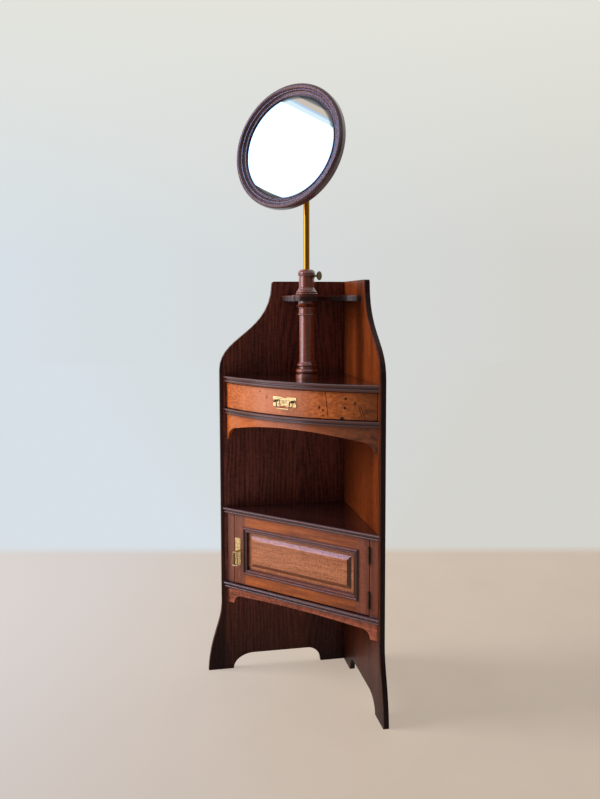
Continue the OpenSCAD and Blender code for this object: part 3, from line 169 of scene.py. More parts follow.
class StandWood(bpy.types.PropertyGroup):
    """Colours and surface of the stand's woods."""

    __annotations__ = tones(WOODS, "light", "dark")
    edge_dark: colour("Board edge", (0.012, 0.005, 0.005), "Old polish on the boards' edges")
    # Rubbed arrises, lightened also as a painted highlight.
    edge_worn_highlight: colour("Worn arris and highlight", (0.330, 0.100, 0.070), "Rubbed arrises of the boards, with painted highlight")
    # Faded front, partly a painted sheen.
    front_faded_sheen: colour("Front, faded and sheen", (0.840, 0.315, 0.165), "Where light has bleached the front, with painted sheen")
    front_brown: colour("Front, browned", (0.200, 0.052, 0.008), "Where the front has stayed brown")
    # A painted sheen on the nosings' upper round.
    nosing_sheen: colour("Nosing sheen", (0.260, 0.210, 0.270), "Painted sheen on the upper round of the nosings")
    apron_brown: colour("Apron, browned", (0.250, 0.070, 0.026), "Where the apron has stayed brown")
    # Dark colour of old polish and dirt, also laid in corners and gaps as painted shade.
    grime_and_shade: colour("Grime and shade", (0.010, 0.004, 0.004), "Old polish and dirt in the corners, with painted shade")
    coat: share("Polish", 0.50, "Weight of the polish over the wood")
    coat_roughness: share("Polish roughness", 0.14, "Roughness of the polish")
    arris: length("Arris", 0.0009, "Width of the softened edges", 0.005)
    wear_reach: length("Wear reach", 0.0010, "How far from an edge the polish is rubbed", 0.01)
    # Reach of the darkened corners, dirt and painted shade alike.
    grime_and_shade_reach: length("Grime reach", 0.008, "How far from a corner grime settles", 0.05)


class StandMetal(bpy.types.PropertyGroup):
    """Colours of the brass, steel and silvered glass."""

    __annotations__ = tones(METALS, "clean", "dull")
    silver: colour("Silvering", (0.930, 0.950, 0.960), "Reflection of the mirror glass")
    # A painted blue glint along the glass's edge.
    silver_edge_glint: colour("Silvering edge", (0.070, 0.110, 0.130), "Painted blue glint in the glass by its edge")
    silver_reach: length("Silvering edge", 0.0100, "Width of the tint close to the edge", 0.02)


class StandStage(bpy.types.PropertyGroup):
    """Floor, backdrop and light."""

    backdrop: colour("Backdrop, left", (0.680, 0.745, 0.790), "Colour behind it, left")
    backdrop_right: colour("Backdrop, right", (0.660, 0.655, 0.620), "Colour behind it, right")
    backdrop_top: colour("Backdrop, top", (0.775, 0.775, 0.715), "Colour above the stand")
    floor: colour("Floor", (0.800, 0.680, 0.570), "Colour of the floor")
    # A painted cool light on the floor's left.
    floor_cool_light: colour("Floor, cool side", (0.740, 0.700, 0.690), "Colour of the floor at the left")
    floor_mirrored: colour("Floor in gloss", (0.350, 0.310, 0.280), "Floor as polish shows it")
    floor_sunlit: colour("Sunlit floor", (1.000, 0.930, 0.860), "Floor by the window, in gloss")
    room_bright: colour("Room, bright side", (0.500, 0.500, 0.530), "Left of the room in gloss")
    room_dim: colour("Room, dim side", (0.100, 0.094, 0.088), "Right of the room in gloss")
    floor_glow: share("Floor glow", 0.62, "Share of the floor that shadows leave as it is")
    sweep: length("Sweep", 1.30, "Where the floor turns into the backdrop", 5.0)
    fill_front: share("Front fill", 0.13, "Even light from the front")
    fill_back: share("Back fill", 0.42, "Even light from behind")
    window: colour("Window", (0.300, 0.520, 1.000), "Tint of the sky in the tall window")
    window_power: brightness("Window, sky", 11.0, "Brightness of the window's top")
    window_low: colour("Window, low", (0.960, 0.900, 1.000), "Tint of the window's lower part")
    window_glow: brightness("Window, low", 5.0, "Brightness of the window's lower part")
    street: brightness("Window, foot", 2.5, "Brightness of the street and far floor")
    key: FloatProperty(name="Key light", description="Power of the large light at the left",
                       default=128.0, min=0.0, max=1000.0, unit="POWER")
    key_tint: colour("Key tint", (1.000, 0.965, 0.930), "Colour of the large light")
    floor_reach: length("Floor reach", 14.0, "Radius of the floor", 100.0)


class StandCamera(bpy.types.PropertyGroup):
    """The photograph's point of view."""

    place: FloatVectorProperty(name="Place", description="Where the camera stands", size=3,
                               default=(1.3111, -2.0284, 1.1900), subtype="TRANSLATION")
    heading: FloatProperty(name="Heading", description="Turn to the left of straight back",
                           default=math.radians(34.085), subtype="ANGLE")
    pitch: FloatProperty(name="Pitch", description="Downward tilt of the view",
                         default=math.radians(4.522), subtype="ANGLE")
    roll: FloatProperty(name="Roll", description="Turn of the view about its own line",
                        default=math.radians(-0.163), subtype="ANGLE")
    lens: FloatProperty(name="Lens", description="Focal length", default=35.28,
                        min=10.0, max=200.0, unit="CAMERA")
    shift: FloatProperty(name="Rise", description="Upright shift of the frame", default=-0.0419)


def view_axes():
    """The level directions to the right of the photograph's view and straight into it."""
    heading = bpy.context.scene.stand_camera.heading
    return ((math.cos(heading), math.sin(heading), 0.0),
            (-math.sin(heading), math.cos(heading), 0.0))


# ---- Node helpers ----

class Net:
    """Adds nodes to one tree and joins their sockets."""

    def __init__(self, tree):
        self.tree = tree

    def add(self, kind, inputs=None, **settings):
        """Adds a shader node. An input given as a socket is linked, and any other is set."""
        node = self.tree.nodes.new("ShaderNode" + kind)
        for name, value in settings.items():
            setattr(node, name, value)
        return self.fill(node, inputs or {})

    def fill(self, node, inputs):
        for name, value in inputs.items():
            self.put(node.inputs[name], value)
        return node

    def put(self, socket, value):
        if isinstance(value, bpy.types.NodeSocket):
            self.tree.links.new(value, socket)
        elif socket.type == "RGBA":
            socket.default_value = (*value[:3], 1.0)
        else:
            socket.default_value = value

    def sum(self, operation, a, b=0.0, c=0.0, clamp=False):
        """A Math node's value."""
        node = self.add("Math", {0: a, 1: b, 2: c}, operation=operation, use_clamp=clamp)
        return node.outputs[0]

    def vector(self, operation, a, b=(0.0, 0.0, 0.0), out="Vector"):
        """A Vector Math node's vector, or its Value."""
        return self.add("VectorMath", {0: a, 1: b}, operation=operation).outputs[out]

    def length(self, a):
        return self.vector("LENGTH", a, out="Value")

    def stretch(self, a, factors):
        return self.vector("MULTIPLY", a, factors)

    def scaled(self, a, factor):
        return self.add("VectorMath", {0: a, "Scale": factor}, operation="SCALE").outputs[0]

    def dot(self, a, b):
        return self.vector("DOT_PRODUCT", a, b, "Value")

    def times(self, a, *factors):
        for factor in factors:
            a = self.sum("MULTIPLY", a, factor)
        return a

    def parts(self, a):
        """A vector's x, y and z."""
        return self.add("SeparateXYZ", {0: a}).outputs

    def normal(self):
        return self.add("NewGeometry").outputs["Normal"]

    def own(self, output="Object"):
        """The piece's own coordinates in metres, or its own Normal."""
        return self.add("TexCoord").outputs[output]

    def noise(self, place, scale, detail=2.0, rough=0.5, out="Fac"):
        return self.add("TexNoise", {"Vector": place, "Scale": scale, "Detail": detail,
                                     "Roughness": rough}).outputs[out]

    def span(self, value, low, high, to_low=0.0, to_high=1.0):
        """The value carried from one range to another, held inside it."""
        return self.add("MapRange", {"Value": value, "From Min": low, "From Max": high,
                                     "To Min": to_low, "To Max": to_high}).outputs["Result"]

    def mix(self, factor, a, b, blend="MIX"):
        node = self.add("Mix", data_type="RGBA", blend_type=blend)
        self.put(node.inputs["Factor"], factor)
        colours = [s for s in node.inputs if s.type == "RGBA"]
        self.put(colours[0], a)
        self.put(colours[1], b)
        return next(s for s in node.outputs if s.type == "RGBA")

    def group(self, tree, **inputs):
        """Places a node group. Underscores in an input's name stand for spaces."""
        return self.add("Group", {name.replace("_", " "): value for name, value in inputs.items()},
                        node_tree=tree).outputs


SOCKETS = {"value": "NodeSocketFloat", "vector": "NodeSocketVector", "colour": "NodeSocketColor"}


def shared_group(name, inputs, outputs):
    """Turns a function that fills a node group into one that gives the group, built only once."""
    def wrap(fill):
        def group():
            tree = bpy.data.node_groups.get(name)
            if tree is None:
                tree = bpy.data.node_groups.new(name, "ShaderNodeTree")
                for sockets, way in ((inputs, "INPUT"), (outputs, "OUTPUT")):
                    for label, kind in sockets.items():
                        tree.interface.new_socket(label, in_out=way, socket_type=SOCKETS[kind])
                fill(Net(tree), tree.nodes.new("NodeGroupInput").outputs,
                     tree.nodes.new("NodeGroupOutput").inputs)
            return tree

        return functools.wraps(fill)(group)

    return wrap


# ---- Shared effects ----

@shared_group("Wood grain",
              {"Place": "vector", "Light": "colour", "Dark": "colour", "Bands": "value",
               "Rings": "value", "Fine": "value", "Ripple": "value", "Ripple Scale": "value",
               "Pores": "value"},
              {"Colour": "colour", "Height": "value", "Gloss": "value"})
def grain_group(net, into, out):
    """Mahogany grain: broad bands, growth rings, fine streaks, cross ripple and open pores.

    Place is in metres with the long grain upright. Out come the colour, a height for the pores
    and a mask that varies the gloss."""
    bend = net.noise(net.stretch(into["Place"], (1.0, 1.0, 0.6)), 5.0, 1.0, 0.4, "Color")
    bend = net.scaled(net.vector("SUBTRACT", bend, (0.5, 0.5, 0.5)), 0.024)
    place = net.vector("ADD", into["Place"], bend)
    drawn = net.stretch(place, (1.0, 1.0, 0.045))
    bands = net.noise(drawn, into["Bands"], 3.0, 0.55)
    streaks = net.noise(drawn, 260.0, 4.0, 0.65)
    rings = net.add("TexWave", {
        "Vector": net.stretch(place, (1.0, 1.0, 0.10)), "Scale": 26.0,
        "Distortion": 9.0, "Detail": 3.0, "Detail Scale": 0.8, "Detail Roughness": 0.55},
        wave_type="RINGS", rings_direction="SPHERICAL").outputs["Fac"]
    ripple = net.noise(net.stretch(place, (0.40, 0.40, 1.0)), into["Ripple Scale"], 4.0, 0.62)
    tone = 0.5
    for value, low, high, amount in (
            (bands, 0.30, 0.70, 0.60), (streaks, 0.28, 0.72, into["Fine"]),
            (rings, 0.0, 1.0, into["Rings"]), (ripple, 0.32, 0.68, into["Ripple"])):
        tone = net.sum("MULTIPLY_ADD", net.span(value, low, high, -0.5, 0.5), amount, tone)
    tone = net.span(tone, 0.0, 1.0)
    pores = net.noise(net.stretch(place, (1.0, 1.0, 0.030)), 1300.0, 1.0, 0.4)
    pores = net.sum("MULTIPLY", net.span(pores, 0.58, 0.72), into["Pores"], clamp=True)
    body = net.mix(tone, into["Dark"], into["Light"])
    deep = net.mix(0.60, body, into["Dark"], "MULTIPLY")
    net.put(out["Colour"], net.mix(pores, body, deep))
    height = net.sum("MULTIPLY_ADD", streaks, 0.25, 0.75)
    net.put(out["Height"], net.sum("SUBTRACT", height, pores))
    net.put(out["Gloss"], net.sum("MULTIPLY_ADD", pores, 0.6, net.times(streaks, 0.4)))


@shared_group("Edge wear and highlight", {"Place": "vector", "Reach": "value", "Amount": "value"},
              {"Mask": "value"})
def wear_and_highlight_group(net, into, out):
    """Mask of the edges that hands and cloths have polished, broken up unevenly; also a painted
    highlight.
    """
    rounded = net.add("Bevel", {"Radius": into["Reach"]}, samples=4).outputs[0]
    edge = net.span(net.dot(rounded, net.normal()), 0.995, 0.86)
    patches = net.span(net.noise(into["Place"], 55.0, 3.0, 0.6), 0.35, 0.68)
    net.put(out["Mask"], net.sum("MULTIPLY", net.times(edge, patches), into["Amount"], clamp=True))


@shared_group("Corner dirt and shade", {"Place": "vector", "Reach": "value", "Amount": "value"},
              {"Mask": "value"})
def grime_and_shade_group(net, into, out):
    """Mask of inner corners, quirks and gaps, where old polish and dirt stay and shade is painted.
    """
    open_air = net.add("AmbientOcclusion", {"Distance": into["Reach"]}, samples=6).outputs["AO"]
    closed = net.span(open_air, 0.75, 0.20)
    patches = net.span(net.noise(into["Place"], 32.0, 3.0, 0.6), 0.20, 0.75, 0.55, 1.0)
    net.put(out["Mask"],
            net.sum("MULTIPLY", net.times(closed, patches), into["Amount"], clamp=True))


@shared_group("Smears", {"Place": "vector", "Low": "value", "High": "value"},
              {"Roughness": "value", "Height": "value"})
def smear_group(net, into, out):
    """Soft uneven smears that vary a polished surface's roughness, and their fine height."""
    wide = net.noise(into["Place"], 14.0, 3.0, 0.6)
    fine = net.noise(into["Place"], 120.0, 2.0, 0.5)
    both = net.sum("MULTIPLY_ADD", fine, 0.35, net.times(wide, 0.65))
    net.put(out["Roughness"], net.span(both, 0.30, 0.70, into["Low"], into["High"]))
    net.put(out["Height"], wide)


@shared_group("Tarnish",
              {"Place": "vector", "Clean": "colour", "Dull": "colour", "Amount": "value"},
              {"Colour": "colour", "Mask": "value"})
def tarnish_group(net, into, out):
    """Brass or steel that has dulled in patches, with small dark spots."""
    patches = net.span(net.noise(into["Place"], 90.0, 4.0, 0.65), 0.42, 0.78)
    spots = net.span(net.noise(into["Place"], 620.0, 2.0, 0.5), 0.62, 0.74)
    mask = net.sum("MAXIMUM", patches, net.times(spots, 0.7))
    mask = net.sum("MULTIPLY", mask, into["Amount"], clamp=True)
    net.put(out["Colour"], net.mix(mask, into["Clean"], into["Dull"]))
    net.put(out["Mask"], mask)


# ---- Materials ----

def new_material(name):
    """An empty material, its net and its Principled shader."""
    material = bpy.data.materials.new(name)
    material.use_nodes = True
    material.node_tree.nodes.clear()
    net = Net(material.node_tree)
    shader = net.add("BsdfPrincipled")
    output = net.add("OutputMaterial")
    net.put(output.inputs["Surface"], shader.outputs[0])
    return material, net, shader


def piece_place(net, along="UP", shift=0.0):
    """A piece's own coordinates in metres, turned so that its long grain is upright.

    shift is the place of the tree's heart, or a number that moves it somewhere else."""
    if isinstance(shift, tuple):
        location = tuple(-c for c in shift)
    else:
        location = (0.37 * shift, 0.61 * shift, 0.83 * shift)
    return net.add("Mapping", {"Vector": net.own(), "Rotation": ALONG[along],
                               "Location": location}).outputs[0]


def handled(net, place, tint, brightened, wear_and_highlight, grime_and_shade):
    """Lightens the edges for rubbing and painted highlight, and darkens the corners for dirt and
    painted shade. Out come the colour and the mask of the corners.

    brightened is the colour of a bright edge. wear_and_highlight and grime_and_shade are each a
    reach and an amount."""
    worn_and_lit = net.group(wear_and_highlight_group(), Place=place, Reach=wear_and_highlight[0], Amount=wear_and_highlight[1])["Mask"]
    grime_and_shade_mask = net.group(grime_and_shade_group(), Place=place, Reach=grime_and_shade[0], Amount=grime_and_shade[1])["Mask"]
    tint = net.mix(worn_and_lit, tint, brightened)
    # Mixes in the dark colour: dirt, and painted shade in corners and gaps.
    return net.mix(grime_and_shade_mask, tint, bpy.context.scene.stand_wood.grime_and_shade), grime_and_shade_mask


def relieve(net, shader, height, strength, depth):
    """Gives the shader a fine relief, whose depth is in metres."""
    bump = net.add("Bump", {"Height": height, "Strength": strength, "Distance": depth})
    net.put(shader.inputs["Normal"], bump.outputs[0])


def wood(name, kind, along="UP", shift=0.0, bands=15.0, rings=0.25, fine=0.40, ripple=0.30,
         ripple_scale=150.0, pores=0.6, wear_and_highlight=0.35, grime_and_shade=0.75, coat=None, gloss=0.25,
         roughness=(0.30, 0.46), polish=None, coat_ior=1.5, relief=0.22, reach=None,
         extra=None):
    """Polished wood of a kind in WOODS. extra, where given, changes the colour before the edges are
    lightened and the corners darkened, partly as painted highlight and shade."""
    look = bpy.context.scene.stand_wood
    light, dark = getattr(look, kind + "_light"), getattr(look, kind + "_dark")
    material, net, shader = new_material(name)
    place = piece_place(net, along, shift)
    grain = net.group(grain_group(), Place=place, Light=light, Dark=dark, Bands=bands,
                      Rings=rings, Fine=fine, Ripple=ripple, Ripple_Scale=ripple_scale,
                      Pores=pores)
    tint = grain["Colour"] if extra is None else extra(net, grain["Colour"])
    # Colour of the edges, lighter for rubbing and as a painted highlight.
    brightened = net.mix(0.6, tint, [min(1.0, 1.3 * c + 0.012) for c in light])
    tint, grime_and_shade_mask = handled(net, place, tint, brightened, (look.wear_reach, wear_and_highlight),
                          (look.grime_and_shade_reach if reach is None else reach, grime_and_shade))
    smears = net.group(smear_group(), Place=place, Low=roughness[0], High=roughness[1])
    net.fill(shader, {
        "Base Color": tint,
        "Roughness": net.sum("MULTIPLY_ADD", grain["Gloss"], 0.08, smears["Roughness"]),
        "Coat Weight": net.times(net.sum("SUBTRACT", 1.0, grime_and_shade_mask),
                                 look.coat if coat is None else coat),
        "Coat Roughness": polish or look.coat_roughness, "Coat IOR": coat_ior,
        "Specular IOR Level": gloss})
    height = net.sum("MULTIPLY_ADD", smears["Height"], 0.6, grain["Height"])
    relieve(net, shader, height, relief, 0.0005)
    return material


def metal(name, kind, amount=0.35, roughness=(0.16, 0.34), extra=None):
    """A metal of a kind in METALS that has dulled in patches. extra changes its colour."""
    look = bpy.context.scene.stand_metal
    clean, dull = getattr(look, kind + "_clean"), getattr(look, kind + "_dull")
    material, net, shader = new_material(name)
    place = piece_place(net)
    tarnish = net.group(tarnish_group(), Place=place, Clean=clean, Dull=dull, Amount=amount)
    tint = tarnish["Colour"] if extra is None else extra(net, tarnish["Colour"])
    brightened = [min(1.0, 1.25 * c) for c in clean]
    tint, _ = handled(net, place, tint, brightened, (0.0008, 0.3), (0.004, 0.7))
    smears = net.group(smear_group(), Place=place, Low=roughness[0], High=roughness[1])
    net.fill(shader, {
        "Base Color": tint, "Metallic": 1.0,
        "Roughness": net.sum("MULTIPLY_ADD", tarnish["Mask"], 0.25, smears["Roughness"], True)})
    relieve(net, shader, smears["Height"], 0.15, 0.0004)
    return material


# ---- Age and marks ----

# Worm holes, knots and a stain: x, z, half width and half height in metres, depth of the colour.
DRAWER_SPOTS = (
    (0.1072, 0.8941, 0.0026, 0.0040, 1.0), (0.1183, 0.8866, 0.0026, 0.0028, 0.95),
    (0.1192, 0.8728, 0.0022, 0.0022, 0.8), (0.1856, 0.9224, 0.0034, 0.0030, 1.0),
    (0.1830, 0.8961, 0.0036, 0.0032, 1.0), (0.2112, 0.9103, 0.0026, 0.0042, 0.9),
    (0.1748, 0.8660, 0.0046, 0.0040, 1.0), (-0.1054, 0.9281, 0.0026, 0.0024, 0.85),
    (-0.0777, 0.9129, 0.0034, 0.0052, 0.45), (0.2517, 0.8904, 0.0150, 0.0040, 0.45),
    (0.2430, 0.8830, 0.0080, 0.0022, 0.55),
)

# Cracks and scratches: from x, z to x, z, half width in metres, depth of the colour.
DRAWER_LINES = (
    (0.1256, 0.9400, 0.1337, 0.8682, 0.0018, 0.95), (0.2214, 0.9007, 0.2304, 0.8712, 0.0020, 0.85),
    (0.2263, 0.9009, 0.2372, 0.8715, 0.0020, 0.85), (-0.2118, 0.8637, -0.2118, 0.8795, 0.0012, 0.8),
    (-0.2680, 0.8640, -0.2680, 0.9390, 0.0012, 0.5),
)


def drawer_marks(net, own):
    """Mask of the drawer front's worm holes, knots, cracks and scratches."""
    flat = net.stretch(own, (1.0, 0.0, 1.0))
    marks = []
    for x, z, wide, high, depth in DRAWER_SPOTS:
        away = net.stretch(net.vector("SUBTRACT", flat, (x, 0.0, z)), (1.0 / wide, 0.0, 1.0 / high))
        marks.append(net.times(net.span(net.length(away), 1.5, 0.8), depth))
    for x0, z0, x1, z1, wide, depth in DRAWER_LINES:
        run = Vector((x1 - x0, 0.0, z1 - z0))
        away = net.vector("SUBTRACT", flat, (x0, 0.0, z0))
        along = net.span(net.dot(away, tuple(run / run.length_squared)), 0.0, 1.0)
        away = net.length(net.vector("SUBTRACT", away, net.scaled(tuple(run), along)))
        marks.append(net.times(net.span(away, wide, 0.3 * wide), depth))
    mask = marks[0]
    for mark in marks[1:]:
        mask = net.sum("MAXIMUM", mask, mark)
    return mask


def drawer_age_and_sheen(net, tint):
    """Fades the drawer front left of its middle, partly as painted sheen, browns its right end, and
    marks it.
    """
    look = bpy.context.scene.stand_wood
    own = net.own()
    sway = net.span(net.noise(own, 9.0, 3.0, 0.6), 0.25, 0.75, -0.03, 0.03)
    x = net.sum("ADD", net.parts(own)[0], sway)
    pale = net.times(net.span(x, -0.215, -0.13), net.span(x, 0.11, 0.0), 0.60)
    # The faded patch is partly a painted sheen.
    tint = net.mix(pale, tint, look.front_faded_sheen)
    tint = net.mix(net.span(x, 0.15, 0.27, 0.0, 0.75), tint, look.front_brown)
    return net.mix(drawer_marks(net, own), tint, look.grime_and_shade)


def board_age_and_highlight(side):
    """Darkens a back board's edges and foot, and lightens its arrises for rubbing and as a painted
    highlight. side is 1 for the right.
    """
    outward = (side * DIAGONAL, DIAGONAL, 0.0)
    forward = (side * DIAGONAL, -DIAGONAL, 0.0)
    corner = CORNER_Y * DIAGONAL

    def shade(net, tint):
        look = bpy.context.scene.stand_wood
        own = net.own()
        depth = net.sum("SUBTRACT", net.dot(own, outward), corner)
        front = net.sum("SUBTRACT", net.dot(own, forward), BOARD_WIDTH - corner)
        edge = net.span(net.sum("ABSOLUTE", net.dot(net.normal(), outward)), 0.80, 0.35)
        rim = net.sum("MAXIMUM", net.span(depth, 0.0032, 0.0014),
                      net.span(depth, BOARD_THICK - 0.0012, BOARD_THICK - 0.0003, 0.0, 0.35))
        patches = net.span(net.noise(own, 24.0, 3.0, 0.6), 0.25, 0.60, 0.35, 1.0)
        tint = net.mix(net.span(net.parts(own)[2], 0.36, 0.04, 0.0, 0.70), tint, look.edge_dark)
        tint = net.mix(net.span(front, -0.014, -0.009, 0.0, 0.7), tint, look.edge_dark)
        dark = net.mix(edge, tint, net.mix(0.15, look.edge_dark, tint))
        # The arrises lighten for rubbing and as a painted highlight.
        return net.mix(net.times(rim, edge, patches), dark, look.edge_worn_highlight)

    return shade


def nosing_light_and_sheen(net, tint):
    """Gives a shelf's moulded front the mouldings' redder colour beside its near-black top, lit and
    shaded copies of one wood, and lays a grey painted sheen on its upper round.
    """
    look = bpy.context.scene.stand_wood
    up = net.parts(net.normal())[2]
    front = net.mix(net.span(up, 0.80, 0.45, 0.0, 0.75), tint,
                    net.mix(0.70, look.mould_light, look.mould_dark))
    # Painted sheen on the upper round.
    nosing_sheen = net.times(net.span(up, 0.20, 0.50), net.span(up, 0.97, 0.85), 0.25)
    return net.mix(nosing_sheen, front, look.nosing_sheen)


def upper_shelf_shade(net, tint):
    """Darkens the lower half of the upper shelf's edge with painted shade."""
    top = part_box("upper_shelf")[1].z
    low = net.span(net.parts(net.own())[2], top - 0.0035, top - 0.0055, 0.0, 0.85)
    return net.mix(low, tint, bpy.context.scene.stand_wood.grime_and_shade)


def bevel_shade(net, tint):
    """Darkens what faces right or down, away from the key light, as painted shade."""
    facing = net.parts(net.own("Normal"))
    away = net.sum("MAXIMUM", net.span(facing[0], 0.08, 0.30, 0.0, 0.80),
                   net.span(facing[2], -0.08, -0.30, 0.0, 0.45))
    return net.mix(away, tint, bpy.context.scene.stand_wood.grime_and_shade)


def stile_shade(net, tint):
    """Darkens the right fixed stile, and the left one along its outer edge, as painted shade."""
    x = net.parts(net.own())[0]
    dark = net.sum("MAXIMUM", net.span(x, 0.234, 0.238, 0.0, 0.45),
                   net.span(x, -0.262, -0.275, 0.0, 0.6))
    return net.mix(dark, tint, bpy.context.scene.stand_wood.stile_dark)


def rail_streaks_and_shade(net, tint):
    """Browns the door's rails towards the right and in streaks, and the upper one more, as painted
    shade from the shelf above.
    """
    own = net.own()
    x, _, z = net.parts(own)
    streaks = net.noise(net.stretch(own, (7.0, 7.0, 60.0)), 1.0, 3.0, 0.6)
    brown = net.sum("ADD", net.span(x, -0.22, 0.16, 0.0, 0.35),
                    net.span(streaks, 0.35, 0.70, -0.35, 0.30))
    # Higher means browner: painted shade from the shelf above.
    brown = net.sum("ADD", brown, net.span(z, 0.12, 0.44, 0.0, 0.35), clamp=True)
    return net.mix(brown, tint, bpy.context.scene.stand_wood.stile_dark)


def apron_age(net, tint):
    """Leaves the upper apron orange at its left end, and browns it with figure at the right."""
    look = bpy.context.scene.stand_wood
    own = net.own()
    sway = net.span(net.noise(own, 12.0, 3.0, 0.6), 0.25, 0.75, -0.04, 0.04)
    x = net.sum("ADD", net.parts(own)[0], sway)
    tint = net.mix(net.span(x, -0.12, 0.20, 0.0, 0.85), tint, look.apron_brown)
    figure = net.noise(net.stretch(own, (1.0, 1.0, 2.4)), 34.0, 4.0, 0.7)
    figure = net.times(net.span(figure, 0.46, 0.62), net.span(x, 0.10, 0.24, 0.0, 0.75))
    return net.mix(figure, tint, look.grime_and_shade)


def bail_highlight(net, tint):
    """Brightens the foot of the bail with a painted highlight."""
    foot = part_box("drawer_bail")[0].z
    brightened = net.span(net.parts(net.own())[2], foot + 0.0050, foot + 0.0035)
    return net.mix(brightened, tint, bpy.context.scene.stand_metal.plate_clean)


# ---- Pieces ----

def finish(material, *nodes):
    """Gives the material to these solids of the frame."""
    for name in nodes:
        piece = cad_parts[name]
        piece.data.materials.clear()
        piece.data.materials.append(material)


def soften(*nodes):
    """Rounds the arrises of these solids, and leaves their meshes as they are."""
    for name in nodes:
        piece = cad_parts[name]
        weld = piece.modifiers.new("Weld", "WELD")
        weld.merge_threshold = 0.00001
        bevel = piece.modifiers.new("Arris", "BEVEL")
        bevel.width = bpy.context.scene.stand_wood.arris
        bevel.segments = 2
        bevel.limit_method = "ANGLE"
        bevel.angle_limit = math.radians(32)
        bevel.use_clamp_overlap = True
        shade = piece.modifiers.new("Flat faces", "WEIGHTED_NORMAL")
        shade.weight = 100
        shade.keep_sharp = True


def new_piece(name, mesh, material):
    """An object of the scene made from a bmesh, which it frees."""
    data = bpy.data.meshes.new(name)
    mesh.to_mesh(data)
    mesh.free()
    data.materials.append(material)
    piece = bpy.data.objects.new(name, data)
    bpy.context.scene.collection.objects.link(piece)
    return piece


def outline(wide, tall, steps, square):
    """Points round a rectangle with soft corners, from its half width and half height.

    square has a power for each way: the smaller it is, the squarer the corners."""
    points = []
    for step in range(steps + 1):
        across, up = math.cos(2.0 * math.pi * step / steps), math.sin(2.0 * math.pi * step / steps)
        points.append((wide * math.copysign(abs(across) ** square[0], across),
                       tall * math.copysign(abs(up) ** square[1], up)))
    return points


def scroll(reach, size, lean):
    """Points of a spiral that unrolls from the side towards the middle."""
    points, steps = [], 24
    for step in range(steps + 1):
        t = step / steps
        angle = 2.6 * math.pi * t
        radius = size * (1.0 - 0.62 * t)
        points.append((reach - 1.2 * radius * math.cos(angle),
                       abs(lean) + lean * (1 - t) + radius * math.sin(angle)))
    return points


def raised_lines(name, strokes, on_plate, body, material):
    """A piece of fine raised lines on a plate. on_plate carries flat points to the plate's face."""
    mesh = bmesh.new()
    sides = 6
    outward = (on_plate(0.0, 0.0) - Vector((0.0, 1.0, on_plate(0.0, 0.0).z))).normalized()
    for stroke in strokes:
        path = [on_plate(u, v) for u, v in stroke]
        last = len(path) - 1
        rings = []
        for i, point in enumerate(path):
            before, after = path[max(0, i - 1)], path[min(last, i + 1)]
            if (path[0] - path[-1]).length < 1e-6 and i in (0, last):
                before, after = path[-2], path[1]
            along = (after - before).normalized()
            side = along.cross(outward).normalized()
            proud = side.cross(along)
            turns = [2.0 * math.pi * k / sides for k in range(sides)]
            rings.append([mesh.verts.new(
                point + LINE_RADIUS * (math.cos(a) * side + math.sin(a) * proud)) for a in turns])
        for first, second in zip(rings, rings[1:]):
            for k in range(sides):
                mesh.faces.new((first[k], first[(k + 1) % sides], second[(k + 1) % sides],
                                second[k]))
        mesh.faces.new(reversed(rings[0]))
        mesh.faces.new(rings[-1])
    bmesh.ops.recalc_face_normals(mesh, faces=mesh.faces)
    for face in mesh.faces:
        face.smooth = True
    piece = new_piece(name, mesh, material)
    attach(piece, body)


# ---- Operators ----

class STAND_OT_boards(bpy.types.Operator):
    """Finish the two back boards and their screws"""

    bl_idname = "stand.boards"
    bl_label = "Back Boards"

    def execute(self, context):
        finish(wood("Left board mahogany", "board", rings=0.30, bands=11.0, fine=0.70,
                    shift=(-0.10, 0.068, 0.45), pores=1.0, reach=0.05, grime_and_shade=0.70, coat=0.06,
                    gloss=0.14, extra=board_age_and_highlight(-1)), "left_board")
        finish(wood("Right board mahogany", "warm", rings=0.25, bands=13.0, fine=0.60,
                    shift=(0.16, 0.008, 0.95), pores=0.9, reach=0.02, coat=0.10, gloss=0.18,
                    extra=board_age_and_highlight(1)), "right_board")
        finish(metal("Old steel", "steel", 0.8, (0.3, 0.5)),
               "left_board_screws", "right_board_screws")
        soften("left_board", "right_board")
        return {"FINISHED"}


class STAND_OT_shelves(bpy.types.Operator):
    """Finish the shelves, the table top and the cupboard floor"""

    bl_idname = "stand.shelves"
    bl_label = "Shelves"

    def execute(self, context):
        finish(wood("Shelf mahogany", "shelf", "ACROSS", 2.1, bands=12.0, wear_and_highlight=0.5,
                    reach=0.005, extra=nosing_light_and_sheen, **POLISHED),
               "table_top", "drawer_shelf", "middle_shelf", "cupboard_floor")
        finish(wood("Upper shelf mahogany", "mould", "ACROSS", 2.6,
                    bands=12.0, coat=0.5, gloss=0.25, roughness=(0.20, 0.32), relief=0.03,
                    wear_and_highlight=0.8, grime_and_shade=1.0, reach=0.005, extra=upper_shelf_shade), "upper_shelf")
        return {"FINISHED"}


